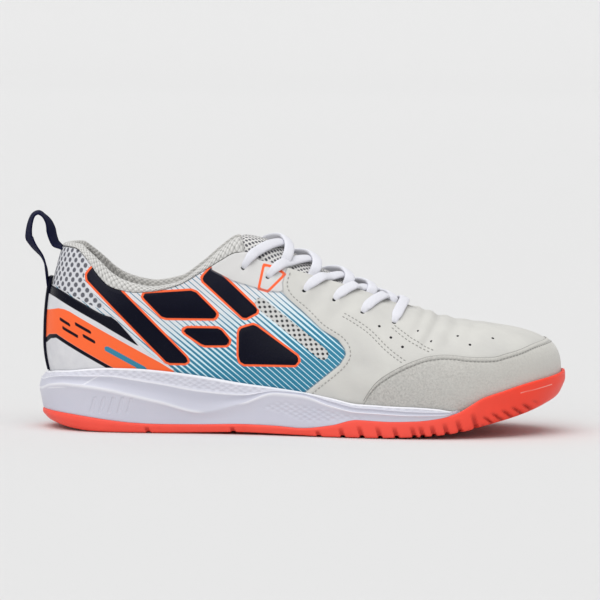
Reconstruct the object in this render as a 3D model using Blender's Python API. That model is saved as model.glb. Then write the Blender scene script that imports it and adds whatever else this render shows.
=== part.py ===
# An indoor soccer shoe for the right foot, as separate closed pieces.
# Lengths in metres. +X points to the toe, -Y to the outer side of the foot, +Z up.
# While a piece is worked out, X is counted from the back of the sole and Z from the floor.

import bmesh
import bpy
import numpy as np

# Driving sizes
SOLE_LENGTH = 0.288
BALL_WIDTH = 0.0974
INSTEP_HEIGHT = 0.0903
HEEL_HEIGHT = 0.101
WALL = 0.002
GAP = 0.0003

# Sole thicknesses
WRAP_THICK = 0.0013
BUMPER_THICK = 0.0020
LUG_DEPTH = 0.0014
INSOLE_THICK = 0.0035

# Overlays and trim
COUNTER_THICK = 0.0008
TOE_CAP_THICK = 0.0009
TAPE_THICK = 0.0008
TAPE_WIDTH = 0.017
LOOP_WIDTH = 0.0105
LOOP_THICK = 0.0012
TONGUE_THICK = 0.0045
TONGUE_DROP = 0.0032
TONGUE_TOP = 0.1073
CUFF_DEPTH = 0.013
CUFF_THICK = 0.0052
CUFF_LEAST = 0.0022
LACE_WIDTH = 0.0046
LACE_THICK = 0.0012
HOLE_WIDTH = 0.0030
RIM_ROUND = 0.0007
TONGUE_SOFT = 0.0035
LACE_LIFT = 0.0009
LACE_BOW = 0.008
BAR_BOW = 0.008
EDGE_KEEP = 0.0026
EDGE_SLOPE = 0.0035
HIDDEN_EDGE = 0.0025

# Clearances, in gaps: more where chords of curved faces sag towards each other
MIDSOLE_SLACK = 1.4 * GAP
INSOLE_SLACK = 1.5 * GAP
CUFF_SLACK = 1.5 * GAP
CAP_SLACK = 2.2 * GAP
CUFF_TO_TONGUE = 0.0010

# Where pieces start and end, shares of SOLE_LENGTH or of HEEL_HEIGHT
RIM_TUCK = 0.770
RIM_DROP = 0.788
BUMPER_START = 0.806
BUMPER_FULL = 0.836
TONGUE_FRONT = 0.742
THROAT_START = 0.405
THROAT_BLEND = 0.045
CUFF_FRONT = 0.390
CAP_BACK = 0.6165
COUNTER_FRONT = 0.260
TAPE_LOW = 0.318
TAPE_HIGH = 0.860

# Shares of the way up the outsole's side: lower end of its upright face, its belly below and above
WRAP_LOW = 0.45
BELLY_LOW = 0.20
BELLY_HIGH = 0.66
BELLY_OUT = 0.57
# Places of the underside's rows from the centre line to the edge, the third one in the middle groove
UNDERSIDE = (0, 0.30, 0.35, 0.40, 0.75, 1)
# Least heights of the steps on the midsole's side
RIDGE_STEP = 0.0010
STRIP_STEP = 0.0006
RIM_STEP = 0.0002
REVEAL = 0.0004

# Base colour, linear, and roughness of each piece
LOOKS = {
    "upper": (0.72, 0.71, 0.69, 0.6),
    "outsole": (0.93, 0.14, 0.08, 0.45),
    "midsole": (0.76, 0.76, 0.82, 0.5),
    "insole": (0.09, 0.10, 0.14, 0.9),
    "toe_cap": (0.56, 0.55, 0.53, 0.9),
    "heel_counter": (0.75, 0.75, 0.77, 0.5),
    "heel_tape": (0.02, 0.02, 0.04, 0.35),
    "tongue": (0.62, 0.61, 0.58, 0.85),
    "collar_cuff": (0.55, 0.54, 0.52, 0.95),
    "pull_loop": (0.02, 0.025, 0.08, 0.8),
    "lace": (0.85, 0.85, 0.88, 0.85),
}

# Stations round the upper, from the back of the heel to the tip of the toe.
# x, spine: shares of SOLE_LENGTH. outer, inner: shares of BALL_WIDTH, outer side and inner side.
# wide: height of the widest line, share of HEEL_HEIGHT. full: how square the section is.
# tuck: how far the wall leans in at its bottom edge, share of the depth below the widest line.
STATIONS = """
x       outer    inner   spine   wide    full   tuck
0.0149   0.0000  0.0000  0.1389  0.480   2.50   0.260
0.0260  -0.1335  0.1335  0.1389  0.470   2.45   0.250
0.0556  -0.2464  0.2444  0.1406  0.455   2.35   0.220
0.1042  -0.3183  0.3131  0.1528  0.440   2.30   0.170
0.1667  -0.3419  0.3347  0.1840  0.430   2.25   0.130
0.2361  -0.3450  0.3285  0.2431  0.410   2.15   0.120
0.3125  -0.3450  0.3101  0.3125  0.385   2.00   0.120
0.3889  -0.3593  0.3060  0.3854  0.360   1.88   0.130
0.4653  -0.3932  0.3368  0.4583  0.330   1.80   0.140
0.5417  -0.4394  0.3963  0.5313  0.300   1.78   0.150
0.6181  -0.4815  0.4579  0.6007  0.275   1.85   0.150
0.6944  -0.5000  0.4990  0.6667  0.260   2.05   0.150
0.7639  -0.4908  0.5113  0.7257  0.262   2.35   0.140
0.8264  -0.4538  0.4908  0.7708  0.275   2.70   0.130
0.8819  -0.3860  0.4374  0.8021  0.285   3.05   0.120
0.9288  -0.2926  0.3542  0.8160  0.290   3.35   0.120
0.9635  -0.1828  0.2567  0.8229  0.292   3.50   0.120
0.9844  -0.0698  0.1520  0.8247  0.292   3.60   0.120
0.9913   0.0411  0.0411  0.8264  0.292   3.60   0.120
"""

# The centre line seen from above: x share of SOLE_LENGTH, y share of BALL_WIDTH.
SPINE = """
x       y
0.0000  0.000
0.3000  0.000
0.5556  0.015
0.6944  0.030
0.8333  0.041
1.0000  0.041
"""

# Height of the crest along the shoe, shares of SOLE_LENGTH and INSTEP_HEIGHT.
CREST = """
x       z
0.0000  1.235
0.0486  1.310
0.1042  1.440
0.1528  1.570
0.2153  1.620
0.2778  1.560
0.3472  1.420
0.3819  1.315
0.4167  1.243
0.4653  1.146
0.4931  1.093
0.5243  1.039
0.5764  0.961
0.6319  0.872
0.6771  0.797
0.7188  0.745
0.7500  0.709
0.7708  0.687
0.8021  0.669
0.8333  0.656
0.8785  0.641
0.9167  0.630
0.9550  0.620
1.0000  0.610
"""

# Top edge of the upper and of the padded cuff, by height: shares of SOLE_LENGTH and HEEL_HEIGHT.
TOP_EDGE = """
x       upper   cuff
0.0000  0.955   0.990
0.0312  0.972   1.000
0.0521  0.980   1.007
0.0694  0.975   1.005
0.0875  0.932   0.975
0.1188  0.823   0.905
0.1361  0.781   0.862
0.1576  0.760   0.826
0.1868  0.749   0.800
0.2153  0.754   0.788
0.2632  0.787   0.812
0.3108  0.863   0.905
0.3448  0.924   0.991
0.3733  0.966   1.048
0.3944  0.971   1.062
0.4200  0.925   1.065
"""

# Half width of the throat, share of BALL_WIDTH, from the collar to its front end.
THROAT = """
x       half
0.3900  0.235
0.4400  0.218
0.5000  0.200
0.5600  0.182
0.6200  0.160
0.6600  0.135
0.6850  0.105
0.7000  0.078
0.7100  0.048
0.7160  0.018
0.7181  0.000
"""

# Half width of the tongue, share of BALL_WIDTH.
TONGUE_HALF = """
x       half
0.3900  0.285
0.5000  0.265
0.6500  0.210
0.7420  0.090
"""

# Heights of the sole along the shoe, shares of SOLE_LENGTH and HEEL_HEIGHT.
# ground: underside. red: top of the outsole's side. ridge, strip: lines along the midsole's side.
# rim: top of the midsole's side. plate: top of the outsole's plate. bed: top of the midsole's inside.
SOLE_HEIGHTS = """
x       ground  red    ridge  strip  rim    plate  bed
0.0000  0.115   0.104  0.205  0.262  0.306  0.085  0.182
0.0198  0.052   0.104  0.219  0.268  0.308  0.070  0.180
0.0351  0.029   0.102  0.245  0.285  0.318  0.060  0.178
0.0618  0.013   0.096  0.258  0.298  0.326  0.050  0.175
0.1045  0.002   0.082  0.250  0.303  0.342  0.042  0.172
0.1389  0.000   0.069  0.235  0.306  0.349  0.040  0.170
0.1840  0.000   0.056  0.205  0.290  0.348  0.040  0.168
0.2361  0.001   0.051  0.170  0.268  0.338  0.040  0.166
0.3125  0.006   0.053  0.118  0.232  0.312  0.042  0.165
0.3889  0.011   0.058  0.170  0.215  0.278  0.045  0.163
0.4500  0.008   0.054  0.232  0.240  0.258  0.044  0.150
0.5000  0.005   0.046  0.222  0.232  0.240  0.040  0.134
0.5556  0.000   0.066  0.170  0.195  0.212  0.040  0.118
0.6042  0.000   0.100  0.140  0.165  0.184  0.040  0.111
0.6400  0.000   0.096  0.136  0.160  0.180  0.041  0.111
0.6632  0.002   0.094  0.132  0.155  0.176  0.043  0.111
0.7118  0.008   0.098  0.128  0.148  0.172  0.048  0.114
0.7535  0.016   0.112  0.130  0.146  0.164  0.056  0.121
0.7882  0.029   0.140  0.142  0.146  0.150  0.069  0.133
0.8194  0.046   0.192  0.165  0.166  0.167  0.086  0.149
0.8368  0.060   0.222  0.180  0.181  0.182  0.100  0.160
0.8750  0.087   0.258  0.205  0.206  0.207  0.127  0.185
0.9063  0.110   0.286  0.225  0.226  0.227  0.150  0.206
0.9375  0.137   0.308  0.240  0.241  0.242  0.170  0.226
0.9625  0.163   0.322  0.250  0.251  0.252  0.184  0.238
0.9844  0.185   0.336  0.258  0.259  0.260  0.194  0.246
0.9950  0.225   0.352  0.262  0.263  0.264  0.198  0.250
1.0000  0.290   0.356  0.264  0.265  0.266  0.200  0.252
"""

# How far the sole stands out from the upper's widest line, in shares of SOLE_LENGTH, by x.
# foot: edge of the underside. red, ridge, strip, rim: as above. fit: gap kept to the upper.
SOLE_OUTSET = """
x        foot    red     ridge   strip   rim     fit
0.0000  -0.0190  0.0080  0.0149  0.0115  0.0010  0.0052
0.0149  -0.0170  0.0080  0.0149  0.0115  0.0010  0.0052
0.0556  -0.0080  0.0085  0.0135  0.0105  0.0045  0.0052
0.1042   0.0000  0.0090  0.0130  0.0095  0.0062  0.0052
0.1667   0.0020  0.0085  0.0125  0.0085  0.0068  0.0052
0.2650   0.0030  0.0078  0.0110  0.0080  0.0069  0.0052
0.3150   0.0030  0.0075  0.0095  0.0080  0.0068  0.0014
0.3889   0.0030  0.0080  0.0090  0.0080  0.0066  0.0012
0.5000   0.0050  0.0095  0.0120  0.0100  0.0070  0.0012
0.6200   0.0065  0.0105  0.0110  0.0098  0.0075  0.0060
0.7000   0.0065  0.0105  0.0108  0.0098  0.0078  0.0062
0.7700   0.0050  0.0105  0.0104  0.0098  0.0080  0.0074
0.8100   0.0040  0.0112  0.0030  0.0028  0.0026  0.0072
0.8800   0.0000  0.0110  0.0022  0.0022  0.0022  0.0062
0.9500  -0.0060  0.0105  0.0018  0.0018  0.0018  0.0062
1.0000  -0.0165  0.0092  0.0015  0.0015  0.0015  0.0062
"""

# Notches along the edge of the outsole, x of each middle, share of SOLE_LENGTH.
NOTCHES = (0.214, 0.374, 0.535, 0.580, 0.616, 0.650, 0.681, 0.714, 0.751, 0.788, 0.826)
NOTCH_WIDTH = 0.0026

# Top line of the toe cap and of the heel counter, shares of SOLE_LENGTH and HEEL_HEIGHT.
CAP_LINE = """
x       z
0.6139  0.192
0.6250  0.249
0.6378  0.297
0.6545  0.335
0.6750  0.370
0.6938  0.396
0.7125  0.417
0.7368  0.437
0.7649  0.445
0.7875  0.442
0.8101  0.435
0.8347  0.433
0.8573  0.434
0.8823  0.449
0.9111  0.469
0.9347  0.490
0.9535  0.500
0.9632  0.505
1.0000  0.512
"""
COUNTER_LINE = """
x       z
0.0000  0.775
0.0190  0.772
0.0306  0.766
0.0800  0.700
0.1337  0.626
0.1441  0.620
0.1700  0.545
0.1920  0.484
0.2300  0.400
0.2646  0.338
"""

# Lace holes, from the top one to the front one: shares of SOLE_LENGTH and HEEL_HEIGHT.
# run: how far ahead a lace from this hole reaches the other edge of the throat.
HOLES = """
x       z       run
0.3875  0.890   0.055
0.4344  0.843   0.074
0.5028  0.769   0.071
0.5594  0.722   0.070
0.6132  0.660   0.068
0.6729  0.608   0.000
"""

# Path of the pull loop, seen from the side, from its outer end: shares of HEEL_HEIGHT.
LOOP_PATH = """
x       z
0.0372  0.806
0.0300  0.860
0.0090  0.922
-0.0297  0.970
-0.0584  1.015
-0.0653  1.040
-0.0614  1.089
-0.0465  1.139
-0.0287  1.158
-0.0069  1.161
0.0198  1.141
0.0406  1.114
0.0525  1.082
0.0610  1.045
0.0720  1.012
0.0840  0.993
"""

# Section of the cuff, a loop. share: 0 at the upper's edge, 1 at the cuff's peak.
# up: height above that, share of CUFF_DEPTH. inward: how far inside the upper's outer face, share of it all.
CUFF_SECTION = """
share  up      inward
0     -1.000   0.320
0     -0.500   0.320
0     -0.023   0.320
0      0.037   0.065
0.6    0.000   0.026
1     -0.031   0.183
1      0.000   0.392
1     -0.108   0.680
0     -0.077   1.000
0     -0.600   0.864
0     -1.000   0.477
"""

# Rows of the tongue from its side to its middle: share of the way, and share of the full thickness.
TONGUE_ROWS = """
way    thick
0.00   0.50
0.30   0.85
0.65   1.00
1.00   1.00
"""


def table(text):
    """The columns of a table, by name."""
    rows = [line.split() for line in text.strip().splitlines()]
    values = np.array(rows[1:], float)
    return {name: values[:, i] for i, name in enumerate(rows[0])}


def ease(share):
    """0 to 1 with level ends."""
    share = np.clip(share, 0, 1)
    return share * share * (3 - 2 * share)


def mix(a, b, share):
    return a * (1 - share) + b * share


def smooth(at, knots, values):
    """A cubic curve through the knots that doesn't overshoot, its slopes taken from the neighbours."""
    at = np.clip(at, knots[0], knots[-1])
    step = np.diff(knots)
    rise = np.diff(values) / step
    slope = np.zeros(len(knots))
    same_way = rise[1:] * rise[:-1] > 0
    before, after = rise[:-1], rise[1:]
    mean = np.where(same_way, 2 * before * after / np.where(same_way, before + after, 1), 0)
    slope[1:-1] = mean
    slope[0], slope[-1] = rise[0], rise[-1]
    i = np.clip(np.searchsorted(knots, at, side="right") - 1, 0, len(step) - 1)
    t = (at - knots[i]) / step[i]
    near = (1 + 2 * t) * (1 - t) ** 2 * values[i] + t * (1 - t) ** 2 * step[i] * slope[i]
    far = t * t * (3 - 2 * t) * values[i + 1] + t * t * (t - 1) * step[i] * slope[i + 1]
    return near + far


def round_curve(at, knots, values):
    """A natural cubic spline through the knots, for outlines that turn back."""
    step = np.diff(knots)
    count = len(knots)
    left = np.eye(count)
    right = np.zeros(count)
    for i in range(1, count - 1):
        left[i, i - 1 : i + 2] = step[i - 1], 2 * (step[i - 1] + step[i]), step[i]
        right[i] = 6 * ((values[i + 1] - values[i]) / step[i] - (values[i] - values[i - 1]) / step[i - 1])
    bend = np.linalg.solve(left, right)
    i = np.clip(np.searchsorted(knots, at, side="right") - 1, 0, count - 2)
    a = (knots[i + 1] - at) / step[i]
    b = (at - knots[i]) / step[i]
    straight = a * values[i] + b * values[i + 1]
    return straight + ((a**3 - a) * bend[i] + (b**3 - b) * bend[i + 1]) * step[i] ** 2 / 6


def by_x(text, name, height):
    """A function of x in metres that reads one column of a table, scaled to metres by height."""
    columns = table(text)
    return lambda x: smooth(x / SOLE_LENGTH, columns["x"], columns[name]) * height


station = table(STATIONS)
spine_y = by_x(SPINE, "y", BALL_WIDTH)
crest_height = by_x(CREST, "z", INSTEP_HEIGHT)
upper_edge = by_x(TOP_EDGE, "upper", HEEL_HEIGHT)
cuff_edge = by_x(TOP_EDGE, "cuff", HEEL_HEIGHT)
throat_half = by_x(THROAT, "half", BALL_WIDTH)
tongue_half = by_x(TONGUE_HALF, "half", BALL_WIDTH)
cap_line = by_x(CAP_LINE, "z", HEEL_HEIGHT)
counter_line = by_x(COUNTER_LINE, "z", HEEL_HEIGHT)
ground = by_x(SOLE_HEIGHTS, "ground", HEEL_HEIGHT)
plate_top = by_x(SOLE_HEIGHTS, "plate", HEEL_HEIGHT)
bed_top = by_x(SOLE_HEIGHTS, "bed", HEEL_HEIGHT)
THROAT_END = table(THROAT)["x"][-1] * SOLE_LENGTH

# Place of each station along the half outline, as a share, from the chords of both sides.
chord_x = np.diff(station["x"]) * SOLE_LENGTH
chords = [np.hypot(chord_x, np.diff(station[side]) * BALL_WIDTH) for side in ("outer", "inner")]
STATION_AT = np.concatenate([[0], np.cumsum(sum(chords))])
HALF_OUTLINE = STATION_AT[-1] / 2
STATION_AT = STATION_AT / STATION_AT[-1]


def whole_outline(name, mirrored=1):
    """Knots and values of a column carried round both sides, so that the ends run on smoothly."""
    other = {"outer": "inner", "inner": "outer"}.get(name, name)
    knots = np.concatenate([-STATION_AT[:0:-1], STATION_AT, 2 - STATION_AT[-2::-1]])
    values = np.concatenate([station[other][:0:-1], station[name], station[other][-2::-1]])
    return knots, values * mirrored


class Columns:
    """Section planes that stand round the shoe, each from the centre line out to the outline.

    turn runs from 0 at the back of the heel to 1 at the toe on the outer side, then on to 2 on the inner side.
    """

    def __init__(self, turn):
        self.turn = np.asarray(turn, float)
        self.outer = self.turn <= 1
        self.along = np.where(self.outer, self.turn, 2 - self.turn)
        self.x = round_curve(self.along, *whole_outline("x")) * SOLE_LENGTH
        outer_y = round_curve(self.along, *whole_outline("outer"))
        inner_y = round_curve(self.along, *whole_outline("inner"))
        self.y = np.where(self.outer, outer_y, inner_y) * BALL_WIDTH
        self.spine_x = smooth(self.along, STATION_AT, station["spine"]) * SOLE_LENGTH
        self.spine_y = spine_y(self.spine_x)
        self.reach = np.hypot(self.x - self.spine_x, self.y - self.spine_y)
        self.way_x = (self.x - self.spine_x) / self.reach
        self.way_y = (self.y - self.spine_y) / self.reach
        self.wide = smooth(self.along, STATION_AT, station["wide"]) * HEEL_HEIGHT
        self.full = smooth(self.along, STATION_AT, station["full"])
        self.tuck = smooth(self.along, STATION_AT, station["tuck"])
        self.bed = bed_top(self.x)
        self.base = self.bed + 2 * GAP

    def wall(self, rise):
        """Distance from the centre line and height of the upper's outer face.

        rise is -1 at the bottom edge, 0 at the widest line and 1 on the crest.
        """
        rise = np.asarray(rise, float)
        wide, base = self.wide[:, None], self.base[:, None]
        reach, full = self.reach[:, None], self.full[:, None]
        low = np.clip(rise, -1, 0)
        angle = np.clip(rise, 0, 1) * np.pi / 2
        spread = (np.cos(angle) ** full + np.sin(angle) ** full) ** (-1 / full)
        lean = self.tuck[:, None] * (wide - base) * low**2
        out = np.where(rise < 0, reach - lean, reach * np.cos(angle) * spread)
        out = np.where(rise >= 1, 0, out)
        crest = crest_height(self.spine_x[:, None] + self.way_x[:, None] * out)
        high = wide + (crest - wide) * np.where(rise >= 1, 1, np.sin(angle) * spread)
        return out, np.where(rise < 0, wide + low * (wide - base), high)

    def offset(self, rise, distance):
        """The same face moved out by a distance, measured in the plane of each section."""
        rise = np.broadcast_to(np.asarray(rise, float), (len(self.turn), np.shape(rise)[-1]))
        out, high = self.wall(rise)
        step = 2e-3
        out_after, high_after = self.wall(np.minimum(rise + step, 1))
        out_before, high_before = self.wall(np.maximum(rise - step, -1))
        lean_out, lean_up = high_after - high_before, out_before - out_after
        on_crest = np.clip((rise - 0.97) / 0.03, 0, 1)
        lean_out = lean_out * (1 - on_crest)
        size = np.hypot(lean_out, lean_up)
        return out + distance * lean_out / size, high + distance * lean_up / size

    def at_height(self, height):
        """The rise at which the face reaches each height, a value or a row of values for each column."""
        samples = np.linspace(-1, 1, 401)
        _, high = self.wall(np.broadcast_to(samples, (len(self.turn), 401)))
        height = np.atleast_2d(height)
        height = height.T if height.shape[0] == 1 else height
        found = [np.interp(height[i], high[i], samples) for i in range(len(self.turn))]
        return np.array(found)

    def under_line(self, line):
        """The rise at which the face crosses a line given by height along x."""
        samples = np.linspace(-1, 1, 401)
        out, high = self.wall(np.broadcast_to(samples, (len(self.turn), 401)))
        over = high - line(self.spine_x[:, None] + self.way_x[:, None] * out)
        over = np.maximum.accumulate(over, axis=1)
        return np.array([np.interp(0, over[i], samples) for i in range(len(self.turn))])

    def top(self):
        """The rise of the upper's top edge: by height round the collar, by half width along the throat."""
        collar = self.under_line(upper_edge)
        samples = np.linspace(0, 1, 401)
        out, _ = self.wall(np.broadcast_to(samples, (len(self.turn), 401)))
        inside = throat_half(self.spine_x[:, None] + self.way_x[:, None] * out) - out
        inside = np.maximum.accumulate(inside, axis=1)
        throat = np.array([np.interp(0, inside[i], samples) for i in range(len(self.turn))])
        throat = np.where(self.spine_x >= THROAT_END - 1e-6, 1, throat)
        share = ease((self.spine_x / SOLE_LENGTH - THROAT_START) / THROAT_BLEND)
        return mix(collar, throat, share)

    def place(self, out, high):
        """Points in space of distances and heights in the section planes."""
        out = np.atleast_2d(out)
        x = self.spine_x[:, None] + self.way_x[:, None] * out
        y = self.spine_y[:, None] + self.way_y[:, None] * out
        return np.stack([x, y, np.broadcast_to(high, x.shape)], axis=-1)


def half_turns(count, *extra):
    """Even steps from heel to toe with the extra places put in, and anything too close to them left out."""
    even = np.linspace(0, 1, count)
    extra = np.array(extra, float)
    if len(extra):
        near = np.abs(even[:, None] - extra[None, :]).min(axis=1) < 0.45 / count
        near[0] = near[-1] = False
        even = even[~near]
    return np.unique(np.concatenate([even, extra]))


def both_sides(half):
    """The whole ring: along the outer side to the toe, then back along the inner side."""
    return np.concatenate([half, 2 - half[-2:0:-1]])


def sheet_faces(count, closed, rows, skip=None):
    """Faces between neighbouring loops of points. skip tells which face of a loop is left out."""
    faces = []
    last = count if closed else count - 1
    for i in range(last):
        j = (i + 1) % count
        for k in range(rows):
            m = (k + 1) % rows
            if skip is not None and skip(i, j, k):
                continue
            faces.append((i * rows + k, j * rows + k, j * rows + m, i * rows + m))
    if not closed:
        faces.append(tuple(range(rows - 1, -1, -1)))
        faces.append(tuple(last * rows + k for k in range(rows)))
    return faces


def build(name, points, faces, look=None):
    """One closed mesh: equal points joined, empty faces dropped, faces turned outwards."""
    points = np.asarray(points, float).reshape(-1, 3)
    mesh = bpy.data.meshes.new(name)
    mesh.from_pydata(points.tolist(), [], faces)
    work = bmesh.new()
    work.from_mesh(mesh)
    bmesh.ops.remove_doubles(work, verts=work.verts, dist=2e-6)
    bmesh.ops.dissolve_degenerate(work, edges=work.edges, dist=2e-6)
    bmesh.ops.triangulate(work, faces=work.faces)
    bmesh.ops.recalc_face_normals(work, faces=work.faces)
    if work.calc_volume(signed=True) < 0:
        bmesh.ops.reverse_faces(work, faces=work.faces)
    work.to_mesh(mesh)
    work.free()
    thing = bpy.data.objects.new(name, mesh)
    bpy.context.scene.collection.objects.link(thing)
    material = bpy.data.materials.new(name)
    material.use_nodes = True
    shader = next(node for node in material.node_tree.nodes if node.type == "BSDF_PRINCIPLED")
    red, green, blue, rough = LOOKS[look or name]
    shader.inputs["Base Color"].default_value = (red, green, blue, 1)
    shader.inputs["Roughness"].default_value = rough
    mesh.materials.append(material)
    return thing


def spine_turn(x):
    """The place along the half outline whose section plane meets the centre line at x."""
    at = np.linspace(0, 1, 4001)
    return np.interp(x, smooth(at, STATION_AT, station["spine"]) * SOLE_LENGTH, at)


def outline_turn(x):
    """The place along the half outline at x."""
    at = np.linspace(0, 1, 4001)
    return np.interp(x, round_curve(at, *whole_outline("x")) * SOLE_LENGTH, at)


CUFF_END = spine_turn(CUFF_FRONT * SOLE_LENGTH)
CAP_START = outline_turn(CAP_BACK * SOLE_LENGTH)
COUNTER_END = outline_turn(COUNTER_FRONT * SOLE_LENGTH)
RIM_TURNS = [outline_turn(share * SOLE_LENGTH) for share in (RIM_TUCK, RIM_DROP, BUMPER_START)]
BASE_TURNS = half_turns(31, CUFF_END, spine_turn(THROAT_END), CAP_START, COUNTER_END, *RIM_TURNS)
UPPER_ROWS = np.array([0, 0.12, 0.25, 0.39, 0.53, 0.67, 0.80, 0.91, 1])


def wall_rows(columns):
    """The rows of the upper's wall, from its bottom edge to its top edge."""
    return -1 + (columns.top()[:, None] + 1) * UPPER_ROWS


def make_upper():
    """The hollow shell: outer face up to the top edge, inner face back down."""
    columns = Columns(both_sides(BASE_TURNS))
    top = columns.top()
    rise = wall_rows(columns)
    outer = columns.place(*columns.offset(rise, 0))
    inner = columns.place(*columns.offset(rise, -WALL))[:, ::-1]
    inner[:, -1, 2] = outer[:, 0, 2]
    loops = np.concatenate([outer, inner], axis=1)
    rows = loops.shape[1]
    closed_over = top >= 1 - 1e-9
    rim = len(UPPER_ROWS) - 1
    skip = lambda i, j, k: k == rim and closed_over[i] and closed_over[j]
    faces = sheet_faces(len(columns.turn), True, rows, skip)
    return build("upper", loops, faces)


def sole_rows(columns):
    """Heights and outsets of the sole's lines at each column, by name."""
    heights, outsets = table(SOLE_HEIGHTS), table(SOLE_OUTSET)
    share = columns.x / SOLE_LENGTH
    rows = {}
    for name in ("red", "ridge", "strip", "rim", "plate"):
        rows[name] = smooth(share, heights["x"], heights[name]) * HEEL_HEIGHT
    for name in ("foot", "red", "ridge", "strip", "rim", "fit"):
        rows["out_" + name] = smooth(share, outsets["x"], outsets[name]) * SOLE_LENGTH
    rows["tucked"] = ease((share - RIM_TUCK) / (RIM_DROP - RIM_TUCK))
    rows["dropped"] = ease((share - RIM_DROP) / (BUMPER_START - RIM_DROP))
    rows["bumper"] = ease((share - BUMPER_START) / (BUMPER_FULL - BUMPER_START))
    rows["wrap_low"] = mix(rows["plate"], rows["red"], WRAP_LOW)
    return rows


def clear_of_upper(columns, height, gap):
    """Distance from the centre line, at one height, of a wall that stands off the upper by a gap."""
    out, _ = columns.wall(columns.at_height(height))
    return out[:, 0] + gap


def floor_rows(columns, edge, shares, surface):
    """Points from the centre line out to an edge, on a surface given by height along x."""
    rows = []
    for share in shares:
        out = edge * share
        rows.append((out, surface(columns.spine_x + columns.way_x * out)))
    return rows


def wrap_inside(columns, rows, height, gap):
    """Inner face of the outsole's side: round the midsole, or round the upper where it is the bumper."""
    halfway = mix(rows["wrap_low"], rows["red"], 0.5)
    knots = np.stack([rows["plate"], rows["wrap_low"], halfway, rows["red"]])
    round_midsole = columns.reach + rows["out_red"] - WRAP_THICK
    found = np.empty(len(columns.turn))
    faces = [clear_of_upper(columns, knot, rows["out_fit"]) for knot in knots]
    faces = np.stack([mix(round_midsole, face, rows["bumper"]) for face in faces])
    for i in range(len(found)):
        found[i] = np.interp(height[i], knots[:, i], faces[:, i])
    return found - gap


def solid_of_rows(name, columns, rows, straight_from=None):
    """A closed piece from a loop of distances and heights that starts and ends on the centre line.

    Rows from straight_from on run straight between the shared columns, as their neighbours' do.
    """
    out = np.stack([row[0] for row in rows], axis=1)
    high = np.stack([row[1] for row in rows], axis=1)
    loops = columns.place(out, high)
    count = loops.shape[1]
    if straight_from is not None:
        shared = np.isin(np.round(columns.along, 9), np.round(BASE_TURNS, 9))
        turn = np.append(columns.turn[shared], 2)
        for row in range(straight_from, count):
            for axis in range(3):
                values = loops[shared, row, axis]
                loops[:, row, axis] = np.interp(columns.turn, turn, np.append(values, values[0]))
    faces = sheet_faces(len(columns.turn), True, count, lambda i, j, k: k == count - 1)
    return build(name, loops, faces)


def make_outsole():
    """The rubber plate: lugs below, a side that wraps the midsole, and the bumper over the toe."""
    steps = (-0.5 * NOTCH_WIDTH, 0, 0.5 * NOTCH_WIDTH)
    marks = [outline_turn(middle * SOLE_LENGTH + step) for middle in NOTCHES for step in steps]
    half = np.unique(np.concatenate([BASE_TURNS, marks]))
    columns = Columns(both_sides(half))
    rows = sole_rows(columns)
    notched = np.isin(np.round(columns.along, 9), np.round(marks[1::3], 9))
    notch = np.where(notched, LUG_DEPTH, 0)
    edge = columns.reach + rows["out_foot"]
    red, bumper = rows["red"], rows["bumper"]
    top_in = wrap_inside(columns, rows, red, 0)
    low_in = wrap_inside(columns, rows, rows["wrap_low"], 0)
    plate_in = wrap_inside(columns, rows, rows["plate"], 0)
    side = mix(columns.reach + rows["out_red"], low_in + BUMPER_THICK * 1.25, bumper)
    points = floor_rows(columns, edge, UNDERSIDE, ground)
    grooves = (0, 0, LUG_DEPTH, 0, notch, notch)
    points = [(out, high + groove) for (out, high), groove in zip(points, grooves)]
    foot = ground(columns.spine_x + columns.way_x * edge)
    points.append((mix(edge, side, BELLY_OUT), mix(foot, red, BELLY_LOW)))
    points.append((side, mix(foot, red, BELLY_HIGH)))
    points.append((mix(columns.reach + rows["out_red"], top_in + BUMPER_THICK, bumper), red))
    points.append((top_in, red))
    halfway = mix(rows["wrap_low"], red, 0.5)
    points.append((wrap_inside(columns, rows, halfway, 0), halfway))
    points.append((low_in, rows["wrap_low"]))
    points.append((plate_in, rows["plate"]))
    points += floor_rows(columns, plate_in, (0.5, 0), plate_top)
    inside = len(points) - 6
    return solid_of_rows("outsole", columns, points, inside)


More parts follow.
